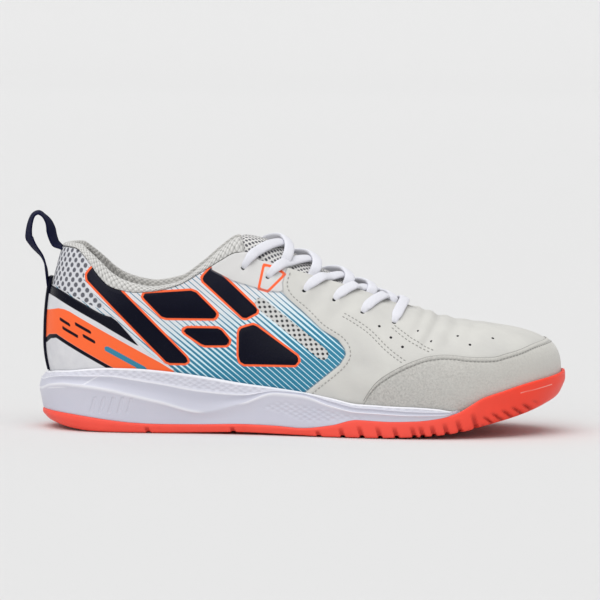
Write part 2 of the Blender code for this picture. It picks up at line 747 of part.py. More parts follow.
def make_midsole():
    """The foam cup: sits in the outsole, its side steps in and out, its rim holds the upper.

    Towards the toe the rim is tucked inside the outsole's side, then drops to the level of the bed.
    """
    columns = Columns(both_sides(BASE_TURNS))
    rows = sole_rows(columns)
    foot = wrap_inside(columns, rows, rows["plate"], MIDSOLE_SLACK)
    points = floor_rows(columns, foot, (0, 0.5), lambda x: plate_top(x) + GAP)
    points.append((foot, rows["plate"] + GAP))
    top = mix(rows["rim"], columns.bed, rows["dropped"])
    over = rows["red"] + GAP
    ridge = np.maximum(rows["ridge"], over + RIDGE_STEP)
    strip = np.maximum(rows["strip"], ridge + STRIP_STEP)
    under_rim = np.maximum(rows["rim"] - RIM_ROUND, strip + RIM_STEP)
    lines = (
        (rows["wrap_low"], None),
        (over, None),
        (over, columns.reach + rows["out_red"] - REVEAL),
        (ridge, columns.reach + rows["out_ridge"]),
        (strip, columns.reach + rows["out_strip"]),
        (under_rim, columns.reach + rows["out_rim"]),
    )
    for number, (height, free) in enumerate(lines):
        in_toe = mix(rows["plate"] + GAP, columns.bed, 0.25 + 0.14 * number)
        height = mix(height, in_toe, rows["dropped"])
        inside = wrap_inside(columns, rows, height, MIDSOLE_SLACK)
        points.append((inside if free is None else mix(free, inside, rows["tucked"]), height))
    # Small steps down keep the rows apart where rim and bed meet.
    inset = np.where(rows["dropped"] > 0.999, MIDSOLE_SLACK + GAP, 0)
    rim_in = clear_of_upper(columns, top, rows["out_fit"]) - inset
    points.append((mix(points[-1][0], rim_in, 0.5), top))
    points.append((rim_in, top - 0.2 * GAP))
    middle = mix(columns.bed, top, 0.5)
    points.append((clear_of_upper(columns, middle, rows["out_fit"]) - 1.5 * inset, middle - 0.3 * GAP))
    bed_edge = clear_of_upper(columns, columns.bed, rows["out_fit"]) - 2 * inset
    points.append((bed_edge, columns.bed - 0.4 * GAP))
    points += floor_rows(columns, bed_edge, (0.5, 0), bed_top)
    return solid_of_rows("midsole", columns, points)


def make_insole():
    """The sockliner, a gap above the bed and a gap inside the upper's wall."""
    columns = Columns(both_sides(BASE_TURNS))
    low = columns.bed + GAP
    high = low + INSOLE_THICK
    lowest = np.full((len(columns.turn), 1), -1.0)
    reach_low = columns.offset(lowest, -WALL)[0][:, 0] - INSOLE_SLACK
    reach_high = columns.offset(columns.at_height(high), -WALL)[0][:, 0] - INSOLE_SLACK
    reach_high = np.minimum(reach_high, reach_low + INSOLE_THICK)
    points = floor_rows(columns, reach_low, (0, 0.5), lambda x: bed_top(x) + INSOLE_SLACK)
    points.append((reach_low, low + 0.5 * GAP))
    points.append((np.minimum(reach_high, reach_low), high))
    points += floor_rows(columns, reach_low, (0,), lambda x: bed_top(x) + GAP + INSOLE_THICK)
    return solid_of_rows("insole", columns, points)


def overlay(name, columns, low, high, inner, thick):
    """A strip on the upper between two rows, from one offset to another, with the upper's own rows inside."""
    rise = np.clip(wall_rows(columns), low[:, None], high[:, None])
    rise = np.concatenate([low[:, None], rise, high[:, None]], axis=1)
    under = columns.place(*columns.offset(rise, inner))
    over = columns.place(*columns.offset(rise, inner + thick))[:, ::-1]
    loops = np.concatenate([under, over], axis=1)
    faces = sheet_faces(len(columns.turn), False, loops.shape[1])
    return build(name, loops, faces)


def behind_rim(columns, high):
    """The row where an overlay's lower edge hides behind the rim."""
    rise = columns.at_height(sole_rows(columns)["rim"] - HIDDEN_EDGE)[:, 0]
    return np.minimum(rise, high - 0.06)


def make_toe_cap():
    """The suede overlay round the toe, its lower edge behind the rim and the bumper."""
    half = BASE_TURNS[BASE_TURNS >= CAP_START - 1e-9]
    columns = Columns(np.concatenate([half, 2 - half[-2::-1]]))
    high = columns.under_line(cap_line)
    return overlay("toe_cap", columns, behind_rim(columns, high), high, CAP_SLACK, TOE_CAP_THICK)


def round_heel(half):
    """Columns from the outer side round the back of the heel to the inner side."""
    turns = np.concatenate([half[::-1], -half[1:]])
    return Columns(np.where(turns < 0, 2 + turns, turns))


def make_heel_counter():
    """The film that wraps the heel, its lower edge behind the rim."""
    columns = round_heel(BASE_TURNS[BASE_TURNS <= COUNTER_END + 1e-9])
    high = columns.under_line(counter_line)
    return overlay("heel_counter", columns, behind_rim(columns, high), high, GAP, COUNTER_THICK)


def make_heel_tape():
    """The dark tape up the back, over the counter."""
    half = outline_turn(0) + np.array([0, 0.5, 1]) * TAPE_WIDTH / 2 / HALF_OUTLINE
    columns = round_heel(half)
    low = columns.at_height(np.full(5, TAPE_LOW * HEEL_HEIGHT))[:, 0]
    high = columns.at_height(np.full(5, TAPE_HIGH * HEEL_HEIGHT))[:, 0]
    inner = 3 * GAP + COUNTER_THICK
    return overlay("heel_tape", columns, low, high, inner, TAPE_THICK)


def across_rise(columns, width):
    """The row of the upper's form that stands this far from the centre line."""
    samples = np.linspace(0, 1, 401)
    out, _ = columns.wall(np.broadcast_to(samples, (len(columns.turn), 401)))
    return np.array([np.interp(0, width[i] - out[i], samples) for i in range(len(width))])


def press_down(high, limit):
    """Heights bent over towards the top of the tongue, so that it ends in a rounded crest."""
    return limit - TONGUE_SOFT * np.logaddexp(0, (limit - high) / TONGUE_SOFT)


def make_tongue():
    """The padded sheet under the lacing, thinner towards its sides."""
    half = np.linspace(CUFF_END + CUFF_TO_TONGUE, spine_turn(TONGUE_FRONT * SOLE_LENGTH), 15)
    section = table(TONGUE_ROWS)
    padding = TONGUE_THICK * section["thick"]
    over, under = [], []
    for turns in (half, 2 - half):
        columns = Columns(turns)
        width = tongue_half(columns.spine_x)
        rise = across_rise(columns, width)
        rises = mix(rise[:, None], 1, section["way"])
        out, high = columns.offset(rises, -TONGUE_DROP)
        over.append(columns.place(out, press_down(high, TONGUE_TOP)))
        out, high = columns.offset(rises, -TONGUE_DROP - padding)
        under.append(columns.place(out, press_down(high, TONGUE_TOP - TONGUE_THICK)))
    over = np.concatenate([over[0], over[1][:, -2::-1]], axis=1)
    under = np.concatenate([under[0], under[1][:, -2::-1]], axis=1)[:, ::-1]
    ring = np.concatenate([over, under], axis=1)
    faces = sheet_faces(len(half), False, ring.shape[1])
    return build("tongue", ring, faces)


def make_cuff():
    """The padded roll round the top line: inside the upper below, over its edge above."""
    half = BASE_TURNS[BASE_TURNS < CUFF_END - 1e-6]
    columns = round_heel(np.append(half, CUFF_END - CUFF_TO_TONGUE))
    _, edge = columns.wall(columns.top()[:, None])
    _, peak = columns.wall(columns.under_line(cuff_edge)[:, None])
    edge, peak = edge[:, 0], np.maximum(peak[:, 0], edge[:, 0] + CUFF_LEAST)
    section = table(CUFF_SECTION)
    deepest = WALL + CUFF_SLACK + CUFF_THICK
    out, high = [], []
    for share, up, inward in zip(section["share"], section["up"], section["inward"]):
        height = mix(edge, peak, share) + up * CUFF_DEPTH
        out.append(clear_of_upper(columns, height, -inward * deepest))
        high.append(height)
    loops = columns.place(np.stack(out, axis=1), np.stack(high, axis=1))
    faces = sheet_faces(len(columns.turn), False, loops.shape[1])
    return build("collar_cuff", loops, faces)


def unit(v):
    return v / np.linalg.norm(v, axis=-1, keepdims=True)


def ribbon(name, middle, across, up, width, thick, look):
    """A flat strap along a path: middle points, the way across it and the way out of it."""
    a = across * width / 2
    b = up * thick / 2
    loops = np.stack([middle - a - b, middle + a - b, middle + a + b, middle - a + b], axis=1)
    return build(name, loops, sheet_faces(len(middle), False, 4), look)


def make_pull_loop():
    """The webbing loop: from the tape at the back, up and over to the top line."""
    path = table(LOOP_PATH)
    knots = np.linspace(0, 1, len(path["x"]))
    at = np.linspace(0, 1, 20)
    x = round_curve(at, knots, path["x"]) * HEEL_HEIGHT
    z = round_curve(at, knots, path["z"]) * HEEL_HEIGHT
    middle = np.stack([x, 0 * x, z], axis=1)
    run = unit(np.gradient(middle, axis=0))
    across = np.tile([0.0, 1.0, 0.0], (len(at), 1))
    up = np.cross(run, across)
    return ribbon("pull_loop", middle, across, up, LOOP_WIDTH, LOOP_THICK, "pull_loop")


def form_points(turn, rise, side):
    columns = Columns(turn if side < 0 else 2 - turn)
    return columns.place(*columns.wall(rise[:, None]))[:, 0]


def on_form(a, b, side, axes):
    """Turns and rises on one side (-1 outer, 1 inner) where two coordinates of the form are a and b."""
    turn = spine_turn(a)
    rise = np.full(len(a), 0.6)
    step = 1e-4
    for _ in range(40):
        here = form_points(turn, rise, side)
        d_turn = (form_points(turn + step, rise, side) - here)[:, axes] / step
        d_rise = (form_points(turn, rise - step, side) - here)[:, axes] / -step
        miss = np.stack([a, b], axis=1) - here[:, axes]
        det = d_turn[:, 0] * d_rise[:, 1] - d_turn[:, 1] * d_rise[:, 0]
        go_turn = (miss[:, 0] * d_rise[:, 1] - miss[:, 1] * d_rise[:, 0]) / det
        go_rise = (d_turn[:, 0] * miss[:, 1] - d_turn[:, 1] * miss[:, 0]) / det
        turn = np.clip(turn + np.clip(go_turn, -0.05, 0.05), 0.02, 0.98)
        rise = np.clip(rise + np.clip(go_rise, -0.1, 0.1), 0.0, 0.995)
    return turn, rise


def form_normals(turn, rise, side):
    """Normals of the form, pointing away from the foot."""
    here = form_points(turn, rise, side)
    along = form_points(turn + 1e-3, rise, side) - here
    up = here - form_points(turn, rise - 1e-2, side)
    normal = unit(np.cross(along, up))
    return normal * np.where(normal[:, 2] < 0, -1, 1)[:, None]


def cut_round(target, name, middle, axis, radius, length):
    """A six-sided cutter through the target."""
    side_way = unit(np.cross(axis, (0, 0, 1)))
    up_way = np.cross(side_way, axis)
    angles = np.arange(6) * np.pi / 3
    ring = radius * (np.cos(angles)[:, None] * side_way + np.sin(angles)[:, None] * up_way)
    ends = np.concatenate([middle - axis * length + ring, middle + axis * length + ring])
    faces = [tuple(range(6)), tuple(range(11, 5, -1))]
    faces += [(i, i + 6, (i + 1) % 6 + 6, (i + 1) % 6) for i in range(6)]
    cutter = build(name, ends, faces, "upper")
    cutter.hide_render = True
    cutter.display_type = "WIRE"
    cut = target.modifiers.new(name, "BOOLEAN")
    cut.operation = "DIFFERENCE"
    cut.solver = "EXACT"
    cut.object = cutter


def drill_holes(upper):
    """Twelve lace holes through the wall, cut along the wall's own normal."""
    spots = table(HOLES)
    for side in (-1, 1):
        turn, rise = on_form(spots["x"] * SOLE_LENGTH, spots["z"] * HEEL_HEIGHT, side, [0, 2])
        points, normals = form_points(turn, rise, side), form_normals(turn, rise, side)
        for i, (point, normal) in enumerate(zip(points, normals)):
            cut_round(upper, f"hole_cutter_{i}_{side}", point, normal, HOLE_WIDTH / 2, 3 * WALL)


def make_laces():
    """Crossed laces over the throat and the straight one in front, each pair joined where they cross."""
    spots = table(HOLES)
    x, z = spots["x"] * SOLE_LENGTH, spots["z"] * HEEL_HEIGHT
    hole = {side: form_points(*on_form(x, z, side, [0, 2]), side)[:, :2] for side in (-1, 1)}
    last = len(x) - 1
    for i in range(last):
        crossed = []
        for side in (-1, 1):
            far_x = hole[side][i][0] + spots["run"][i] * SOLE_LENGTH
            far_y = spine_y(far_x) - side * (throat_half(far_x) - EDGE_KEEP)
            crossed.append(strand(hole[side][i], np.array([far_x, far_y]), LACE_BOW, side, False))
        join_strands(f"lace_cross_{i + 1}", crossed)
    join_strands("lace_bar", [strand(hole[-1][last], hole[1][last], BAR_BOW, -1, True)])


def strand(start, end, bow, side, high_all_along):
    """Points of one lace from its hole over the crest, and the ways across and out of it.

    Near its hole it lies on the wall. Over the throat it comes down towards the tongue.
    """
    share = np.linspace(0, 1, 9)
    plan = mix(start[None, :], end[None, :], share[:, None])
    plan[:, 0] += bow * np.sin(np.pi * share)
    middle, normal = np.zeros((9, 3)), np.zeros((9, 3))
    crest = spine_y(plan[:, 0])
    for here in (-1, 1):
        mine = (plan[:, 1] - crest) * here >= 0
        if not mine.any():
            continue
        turn, rise = on_form(plan[mine, 0], plan[mine, 1], here, [0, 1])
        normal[mine] = form_normals(turn, rise, here)
        columns = Columns(turn if here < 0 else 2 - turn)
        edge = columns.wall(columns.top()[:, None])[0][:, 0]
        out = columns.wall(rise[:, None])[0][:, 0]
        on_wall = ease((out - edge + EDGE_KEEP) / EDGE_SLOPE + 1)
        if high_all_along:
            on_wall = np.ones(len(out))
        elif here != side:
            on_wall = np.zeros(len(out))
        low = -TONGUE_DROP + LACE_THICK / 2 + 3 * GAP
        lift = mix(low, LACE_THICK / 2 + LACE_LIFT, on_wall)
        middle[mine] = form_points(turn, rise, here) + normal[mine] * lift[:, None]
    run = unit(np.gradient(middle, axis=0))
    across = unit(np.cross(run, normal))
    return middle, across, unit(np.cross(across, run))


def join_strands(name, strands):
    """One solid of one strand, or of two that cross."""
    made = []
    for i, (middle, across, up) in enumerate(strands):
        label = name if i == 0 else f"{name}_second"
        made.append(ribbon(label, middle, across, up, LACE_WIDTH, LACE_THICK, "lace"))
    if len(made) == 2:
        made[1].hide_render = True
        made[1].display_type = "WIRE"
        join = made[0].modifiers.new("joined", "BOOLEAN")
        join.operation = "UNION"
        join.solver = "EXACT"
        join.object = made[1]


def centre_all():
    """Moves every piece so that the middle of the whole box's underside is at the origin."""
    def points_of(thing):
        points = np.empty(len(thing.data.vertices) * 3)
        thing.data.vertices.foreach_get("co", points)
        return points.reshape(-1, 3)

    shown = np.concatenate([points_of(thing) for thing in bpy.data.objects if not thing.hide_render])
    low, high = shown.min(axis=0), shown.max(axis=0)
    shift = np.array([(low[0] + high[0]) / 2, (low[1] + high[1]) / 2, low[2]])
    for thing in bpy.data.objects:
        thing.data.vertices.foreach_set("co", (points_of(thing) - shift).ravel())
        thing.data.update()
    print("moved by", np.round(-shift * 1000, 3), "mm")


for old in list(bpy.data.objects):
    bpy.data.objects.remove(old)
drill_holes(make_upper())
make_outsole()
make_midsole()
make_insole()
make_toe_cap()
make_heel_counter()
make_heel_tape()
make_tongue()
make_cuff()
make_pull_loop()
make_laces()
centre_all()
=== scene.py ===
import bmesh
import bpy
import mathutils
import numpy as np
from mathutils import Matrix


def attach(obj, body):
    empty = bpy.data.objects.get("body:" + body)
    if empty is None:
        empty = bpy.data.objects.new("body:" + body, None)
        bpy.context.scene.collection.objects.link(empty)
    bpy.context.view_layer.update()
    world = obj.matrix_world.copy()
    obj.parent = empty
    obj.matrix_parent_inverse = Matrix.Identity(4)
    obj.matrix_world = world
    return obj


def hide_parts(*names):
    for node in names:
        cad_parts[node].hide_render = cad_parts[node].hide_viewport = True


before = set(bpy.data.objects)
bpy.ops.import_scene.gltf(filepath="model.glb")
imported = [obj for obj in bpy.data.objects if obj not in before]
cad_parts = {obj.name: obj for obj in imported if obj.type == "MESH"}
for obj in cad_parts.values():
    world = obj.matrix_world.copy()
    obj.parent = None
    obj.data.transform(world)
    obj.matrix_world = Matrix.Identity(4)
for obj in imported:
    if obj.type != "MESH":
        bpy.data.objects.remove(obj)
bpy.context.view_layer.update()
print("frame loaded:", len(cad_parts), "nodes")

# Lengths in metres, panel outlines in millimetres. While a piece is worked out, x runs from the
# back of the sole and z from the floor. moveToFrame carries finished points to the frame.
shoe = {
    "length": 0.288,
    "ballWidth": 0.0974,
    "instepHeight": 0.0903,
    "heelHeight": 0.101,
    "wall": 0.002,
    "gap": 0.0003,
    "moveToFrame": (-0.141189, -0.000497, 0.0),
}


def readTable(text):
    # the columns of a short table, by name
    rows = [line.split() for line in text.strip().splitlines()]
    values = np.array(rows[1:], float)
    return {name: values[:, i] for i, name in enumerate(rows[0])}


# Stations round the upper: shares of length, ball width and heel height
station = readTable("""
x       outer    inner   spine   wide    full   tuck
0.0149   0.0000  0.0000  0.1389  0.480   2.50   0.260
0.0260  -0.1335  0.1335  0.1389  0.470   2.45   0.250
0.0556  -0.2464  0.2444  0.1406  0.455   2.35   0.220
0.1042  -0.3183  0.3131  0.1528  0.440   2.30   0.170
0.1667  -0.3419  0.3347  0.1840  0.430   2.25   0.130
0.2361  -0.3450  0.3285  0.2431  0.410   2.15   0.120
0.3125  -0.3450  0.3101  0.3125  0.385   2.00   0.120
0.3889  -0.3593  0.3060  0.3854  0.360   1.88   0.130
0.4653  -0.3932  0.3368  0.4583  0.330   1.80   0.140
0.5417  -0.4394  0.3963  0.5313  0.300   1.78   0.150
0.6181  -0.4815  0.4579  0.6007  0.275   1.85   0.150
0.6944  -0.5000  0.4990  0.6667  0.260   2.05   0.150
0.7639  -0.4908  0.5113  0.7257  0.262   2.35   0.140
0.8264  -0.4538  0.4908  0.7708  0.275   2.70   0.130
0.8819  -0.3860  0.4374  0.8021  0.285   3.05   0.120
0.9288  -0.2926  0.3542  0.8160  0.290   3.35   0.120
0.9635  -0.1828  0.2567  0.8229  0.292   3.50   0.120
0.9844  -0.0698  0.1520  0.8247  0.292   3.60   0.120
0.9913   0.0411  0.0411  0.8264  0.292   3.60   0.120
""")
spineLine = readTable("""
x       y
0.0000  0.000
0.3000  0.000
0.5556  0.015
0.6944  0.030
0.8333  0.041
1.0000  0.041
""")
crestLine = readTable("""
x       z
0.0000  1.235
0.0486  1.310
0.1042  1.440
0.1528  1.570
0.2153  1.620
0.2778  1.560
0.3472  1.420
0.3819  1.315
0.4167  1.243
0.4653  1.146
0.4931  1.093
0.5243  1.039
0.5764  0.961
0.6319  0.872
0.6771  0.797
0.7188  0.745
0.7500  0.709
0.7708  0.687
0.8021  0.669
0.8333  0.656
0.8785  0.641
0.9167  0.630
0.9550  0.620
1.0000  0.610
""")
topEdge = readTable("""
x       upper   cuff
0.0000  0.955   0.990
0.0312  0.972   1.000
0.0521  0.980   1.007
0.0694  0.975   1.005
0.0875  0.932   0.975
0.1188  0.823   0.905
0.1361  0.781   0.862
0.1576  0.760   0.826
0.1868  0.749   0.800
0.2153  0.754   0.788
0.2632  0.787   0.812
0.3108  0.863   0.905
0.3448  0.924   0.991
0.3733  0.966   1.048
0.3944  0.971   1.062
0.4200  0.925   1.065
""")
throatTable = readTable("""
x       half
0.3900  0.235
0.4400  0.218
0.5000  0.200
0.5600  0.182
0.6200  0.160
0.6600  0.135
0.6850  0.105
0.7000  0.078
0.7100  0.048
0.7160  0.018
0.7181  0.000
""")
tongueTable = readTable("""
x       half
0.3900  0.285
0.5000  0.265
0.6500  0.210
0.7420  0.090
""")
soleHeights = readTable("""
x       ground  red    ridge  strip  rim    plate  bed
0.0000  0.115   0.104  0.205  0.262  0.306  0.085  0.182
0.0198  0.052   0.104  0.219  0.268  0.308  0.070  0.180
0.0351  0.029   0.102  0.245  0.285  0.318  0.060  0.178
0.0618  0.013   0.096  0.258  0.298  0.326  0.050  0.175
0.1045  0.002   0.082  0.250  0.303  0.342  0.042  0.172
0.1389  0.000   0.069  0.235  0.306  0.349  0.040  0.170
0.1840  0.000   0.056  0.205  0.290  0.348  0.040  0.168
0.2361  0.001   0.051  0.170  0.268  0.338  0.040  0.166
0.3125  0.006   0.053  0.118  0.232  0.312  0.042  0.165
0.3889  0.011   0.058  0.170  0.215  0.278  0.045  0.163
0.4500  0.008   0.054  0.232  0.240  0.258  0.044  0.150
0.5000  0.005   0.046  0.222  0.232  0.240  0.040  0.134
0.5556  0.000   0.066  0.170  0.195  0.212  0.040  0.118
0.6042  0.000   0.100  0.140  0.165  0.184  0.040  0.111
0.6400  0.000   0.096  0.136  0.160  0.180  0.041  0.111
0.6632  0.002   0.094  0.132  0.155  0.176  0.043  0.111
0.7118  0.008   0.098  0.128  0.148  0.172  0.048  0.114
0.7535  0.016   0.112  0.130  0.146  0.164  0.056  0.121
0.7882  0.029   0.140  0.142  0.146  0.150  0.069  0.133
0.8194  0.046   0.192  0.165  0.166  0.167  0.086  0.149
0.8368  0.060   0.222  0.180  0.181  0.182  0.100  0.160
0.8750  0.087   0.258  0.205  0.206  0.207  0.127  0.185
0.9063  0.110   0.286  0.225  0.226  0.227  0.150  0.206
0.9375  0.137   0.308  0.240  0.241  0.242  0.170  0.226
0.9625  0.163   0.322  0.250  0.251  0.252  0.184  0.238
0.9844  0.185   0.336  0.258  0.259  0.260  0.194  0.246
0.9950  0.225   0.352  0.262  0.263  0.264  0.198  0.250
1.0000  0.290   0.356  0.264  0.265  0.266  0.200  0.252
""")
soleOutset = readTable("""
x        foot    red     ridge   strip   rim     fit
0.0000  -0.0190  0.0080  0.0149  0.0115  0.0010  0.0052
0.0149  -0.0170  0.0080  0.0149  0.0115  0.0010  0.0052
0.0556  -0.0080  0.0085  0.0135  0.0105  0.0045  0.0052
0.1042   0.0000  0.0090  0.0130  0.0095  0.0062  0.0052
0.1667   0.0020  0.0085  0.0125  0.0085  0.0068  0.0052
0.2650   0.0030  0.0078  0.0110  0.0080  0.0069  0.0052
0.3150   0.0030  0.0075  0.0095  0.0080  0.0068  0.0014
0.3889   0.0030  0.0080  0.0090  0.0080  0.0066  0.0012
0.5000   0.0050  0.0095  0.0120  0.0100  0.0070  0.0012
0.6200   0.0065  0.0105  0.0110  0.0098  0.0075  0.0060
0.7000   0.0065  0.0105  0.0108  0.0098  0.0078  0.0062
0.7700   0.0050  0.0105  0.0104  0.0098  0.0080  0.0074
0.8100   0.0040  0.0112  0.0030  0.0028  0.0026  0.0072
0.8800   0.0000  0.0110  0.0022  0.0022  0.0022  0.0062
0.9500  -0.0060  0.0105  0.0018  0.0018  0.0018  0.0062
1.0000  -0.0165  0.0092  0.0015  0.0015  0.0015  0.0062
""")
capTable = readTable("""
x       z
0.6139  0.192
0.6250  0.249
0.6378  0.297
0.6545  0.335
0.6750  0.370
0.6938  0.396
0.7125  0.417
0.7368  0.437
0.7649  0.445
0.7875  0.442
0.8101  0.435
0.8347  0.433
0.8573  0.434
0.8823  0.449
0.9111  0.469
0.9347  0.490
0.9535  0.500
0.9632  0.505
1.0000  0.512
""")
counterTable = readTable("""
x       z
0.0000  0.775
0.0190  0.772
0.0306  0.766
0.0800  0.700
0.1337  0.626
0.1441  0.620
0.1700  0.545
0.1920  0.484
0.2300  0.400
0.2646  0.338
""")
holeTable = readTable("""
x       z
0.3875  0.890
0.4344  0.843
0.5028  0.769
0.5594  0.722
0.6132  0.660
0.6729  0.608
""")
loopTable = readTable("""
x       z
0.0372  0.806
0.0300  0.860
0.0090  0.922
-0.0297  0.970
-0.0584  1.015
-0.0653  1.040
-0.0614  1.089
-0.0465  1.139
-0.0287  1.158
-0.0069  1.161
0.0198  1.141
0.0406  1.114
0.0525  1.082
0.0610  1.045
0.0720  1.012
0.0840  0.993
""")

# Curves
def ease(share):
    # 0 to 1 with level ends: 3s² - 2s³
    share = np.clip(share, 0, 1)
    return share * share * (3 - 2 * share)


def mix(a, b, share):
    # a at 0, b at 1 and straight between them
    return a * (1 - share) + b * share


def hermite(t, a, b, slopeA, slopeB):
    # a cubic from a to b while t goes from 0 to 1, with these slopes at its ends
    near = (1 + 2 * t) * (1 - t) ** 2 * a + t * (1 - t) ** 2 * slopeA
    return near + t * t * (3 - 2 * t) * b + t * t * (t - 1) * slopeB


def smooth(at, knots, values):
    # a cubic through the knots that doesn't overshoot, its slopes the harmonic mean of the neighbours
    at = np.clip(at, knots[0], knots[-1])
    step = np.diff(knots)
    rise = np.diff(values) / step
    before, after = rise[:-1], rise[1:]
    sameWay = before * after > 0
    inner = np.where(sameWay, 2 * before * after / np.where(sameWay, before + after, 1), 0)
    slope = np.concatenate([rise[:1], inner, rise[-1:]])
    i = np.clip(np.searchsorted(knots, at, side="right") - 1, 0, len(step) - 1)
    t = (at - knots[i]) / step[i]
    return hermite(t, values[i], values[i + 1], step[i] * slope[i], step[i] * slope[i + 1])


def roundCurve(at, knots, values):
    # a natural cubic spline through the knots, for outlines that turn back
    step = np.diff(knots)
    count = len(knots)
    left, right = np.eye(count), np.zeros(count)
    for i in range(1, count - 1):
        left[i, i - 1 : i + 2] = step[i - 1], 2 * (step[i - 1] + step[i]), step[i]
        right[i] = 6 * ((values[i + 1] - values[i]) / step[i] - (values[i] - values[i - 1]) / step[i - 1])
    bend = np.linalg.solve(left, right)
    i = np.clip(np.searchsorted(knots, at, side="right") - 1, 0, count - 2)
    a, b = (knots[i + 1] - at) / step[i], (at - knots[i]) / step[i]
    straight = a * values[i] + b * values[i + 1]
    return straight + ((a**3 - a) * bend[i] + (b**3 - b) * bend[i + 1]) * step[i] ** 2 / 6


def column(columns, name, size):
    # a function of x in metres that reads one column as shares of a size
    return lambda x: smooth(x / shoe["length"], columns["x"], columns[name]) * shoe[size]


def unit(v):
    # vectors over their own lengths
    return v / np.maximum(np.linalg.norm(v, axis=-1, keepdims=True), 1e-12)


spineY = column(spineLine, "y", "ballWidth")
crestHeight = column(crestLine, "z", "instepHeight")
throatHalf, tongueHalf = [column(table, "half", "ballWidth") for table in (throatTable, tongueTable)]
ground, plateTop, bedTop = [column(soleHeights, name, "heelHeight") for name in ("ground", "plate", "bed")]
capLine, counterLine = [column(table, "z", "heelHeight") for table in (capTable, counterTable)]
upperEdge, cuffEdge = [column(topEdge, name, "heelHeight") for name in ("upper", "cuff")]
throatEnd = throatTable["x"][-1] * shoe["length"]

chordX = np.diff(station["x"]) * shoe["length"]
chords = [np.hypot(chordX, np.diff(station[side]) * shoe["ballWidth"]) for side in ("outer", "inner")]
stationAt = np.concatenate([[0], np.cumsum(sum(chords))])
halfOutline = stationAt[-1] / 2
stationAt = stationAt / stationAt[-1]


def outlineCurve(at, name):
    # a column read round the outline. Its knots go on round both sides, so that the ends run smoothly
    other = station[{"outer": "inner", "inner": "outer"}.get(name, name)]
    knots = np.concatenate([-stationAt[:0:-1], stationAt, 2 - stationAt[-2::-1]])
    return roundCurve(at, knots, np.concatenate([other[:0:-1], station[name], other[-2::-1]]))


# The last's form
def sectionsAt(turn):
    # section planes from the centre line out to the outline. turn: 0 heel, 1 toe, 2 back at the heel
    turn = np.asarray(turn, float)
    along = np.where(turn <= 1, turn, 2 - turn)
    s = {"turn": turn, "x": outlineCurve(along, "x") * shoe["length"]}
    outerY, innerY = [outlineCurve(along, name) for name in ("outer", "inner")]
    s["y"] = np.where(turn <= 1, outerY, innerY) * shoe["ballWidth"]
    s["spineX"] = smooth(along, stationAt, station["spine"]) * shoe["length"]
    s["spineY"] = spineY(s["spineX"])
    s["reach"] = np.hypot(s["x"] - s["spineX"], s["y"] - s["spineY"])
    s["wayX"] = (s["x"] - s["spineX"]) / s["reach"]
    s["wayY"] = (s["y"] - s["spineY"]) / s["reach"]
    s["wide"] = smooth(along, stationAt, station["wide"]) * shoe["heelHeight"]
    s["full"] = smooth(along, stationAt, station["full"])
    s["tuck"] = smooth(along, stationAt, station["tuck"])
    s["bed"] = bedTop(s["x"])
    s["base"] = s["bed"] + 2 * shoe["gap"]
    return s


def planeX(s, out):
    # x of points that lie a distance from the centre line in each section's plane
    return s["spineX"][:, None] + s["wayX"][:, None] * out


def wallAt(s, rise):
    # distance from the centre line and height of the face. rise: -1 bottom edge, 0 widest line, 1 crest.
    # above the widest line the section is a superellipse, below it leans in with the square of the depth
    rise = np.asarray(rise, float)
    wide, base, reach, full, tuck = [s[name][:, None] for name in ("wide", "base", "reach", "full", "tuck")]
    low = np.clip(rise, -1, 0)
    angle = np.clip(rise, 0, 1) * np.pi / 2
    spread = (np.cos(angle) ** full + np.sin(angle) ** full) ** (-1 / full)
    out = np.where(rise < 0, reach - tuck * (wide - base) * low**2, reach * np.cos(angle) * spread)
    out = np.where(rise >= 1, 0, out)
    high = wide + (crestHeight(planeX(s, out)) - wide) * np.where(rise >= 1, 1, np.sin(angle) * spread)
    return out, np.where(rise < 0, wide + low * (wide - base), high)


def offsetWall(s, rise, distance):
    # the face moved out by a distance, in the plane of each section
    rise = np.broadcast_to(np.asarray(rise, float), (len(s["turn"]), np.shape(rise)[-1]))
    out, high = wallAt(s, rise)
    step = 2e-3
    outAfter, highAfter = wallAt(s, np.minimum(rise + step, 1))
    outBefore, highBefore = wallAt(s, np.maximum(rise - step, -1))
    leanUp = outBefore - outAfter
    leanOut = (highAfter - highBefore) * (1 - np.clip((rise - 0.97) / 0.03, 0, 1))
    size = np.hypot(leanOut, leanUp)
    return out + distance * leanOut / size, high + distance * leanUp / size


def place(s, out, high):
    # points in space of distances and heights in the section planes
    out = np.atleast_2d(out)
    x, y = planeX(s, out), s["spineY"][:, None] + s["wayY"][:, None] * out
    return np.stack([x, y, np.broadcast_to(high, x.shape)], axis=-1)


def riseWhere(s, test, lowest=-1):
    # the rise at which a value that grows from below zero crosses zero, for each section
    samples = np.linspace(lowest, 1, 401)
    grown = np.maximum.accumulate(test(*wallAt(s, np.tile(samples, (len(s["turn"]), 1)))), axis=1)
    return np.array([np.interp(0, row, samples) for row in grown])


def riseUnder(s, line):
    # the rise at which the face meets a line that gives a height for each x
    return riseWhere(s, lambda out, high: high - line(planeX(s, out)))


def riseAtHeight(s, height):
    # the rise at which each section's face has a height, read back from samples of it
    samples = np.linspace(-1, 1, 401)
    _, high = wallAt(s, np.tile(samples, (len(s["turn"]), 1)))
    return np.array([np.interp(level, row, samples) for level, row in zip(height, high)])


def topRise(s):
    # the upper's top edge: by height round the collar, by half width along the throat
    throat = riseWhere(s, lambda out, high: throatHalf(planeX(s, out)) - out, 0)
    throat = np.where(s["spineX"] >= throatEnd - 1e-6, 1, throat)
    return mix(riseUnder(s, upperEdge), throat, ease((s["spineX"] / shoe["length"] - 0.405) / 0.045))


def turnAtSpine(x):
    # the turn whose plane starts at x on the centre line, read back from samples
    at = np.linspace(0, 1, 4001)
    return np.interp(x, smooth(at, stationAt, station["spine"]) * shoe["length"], at)


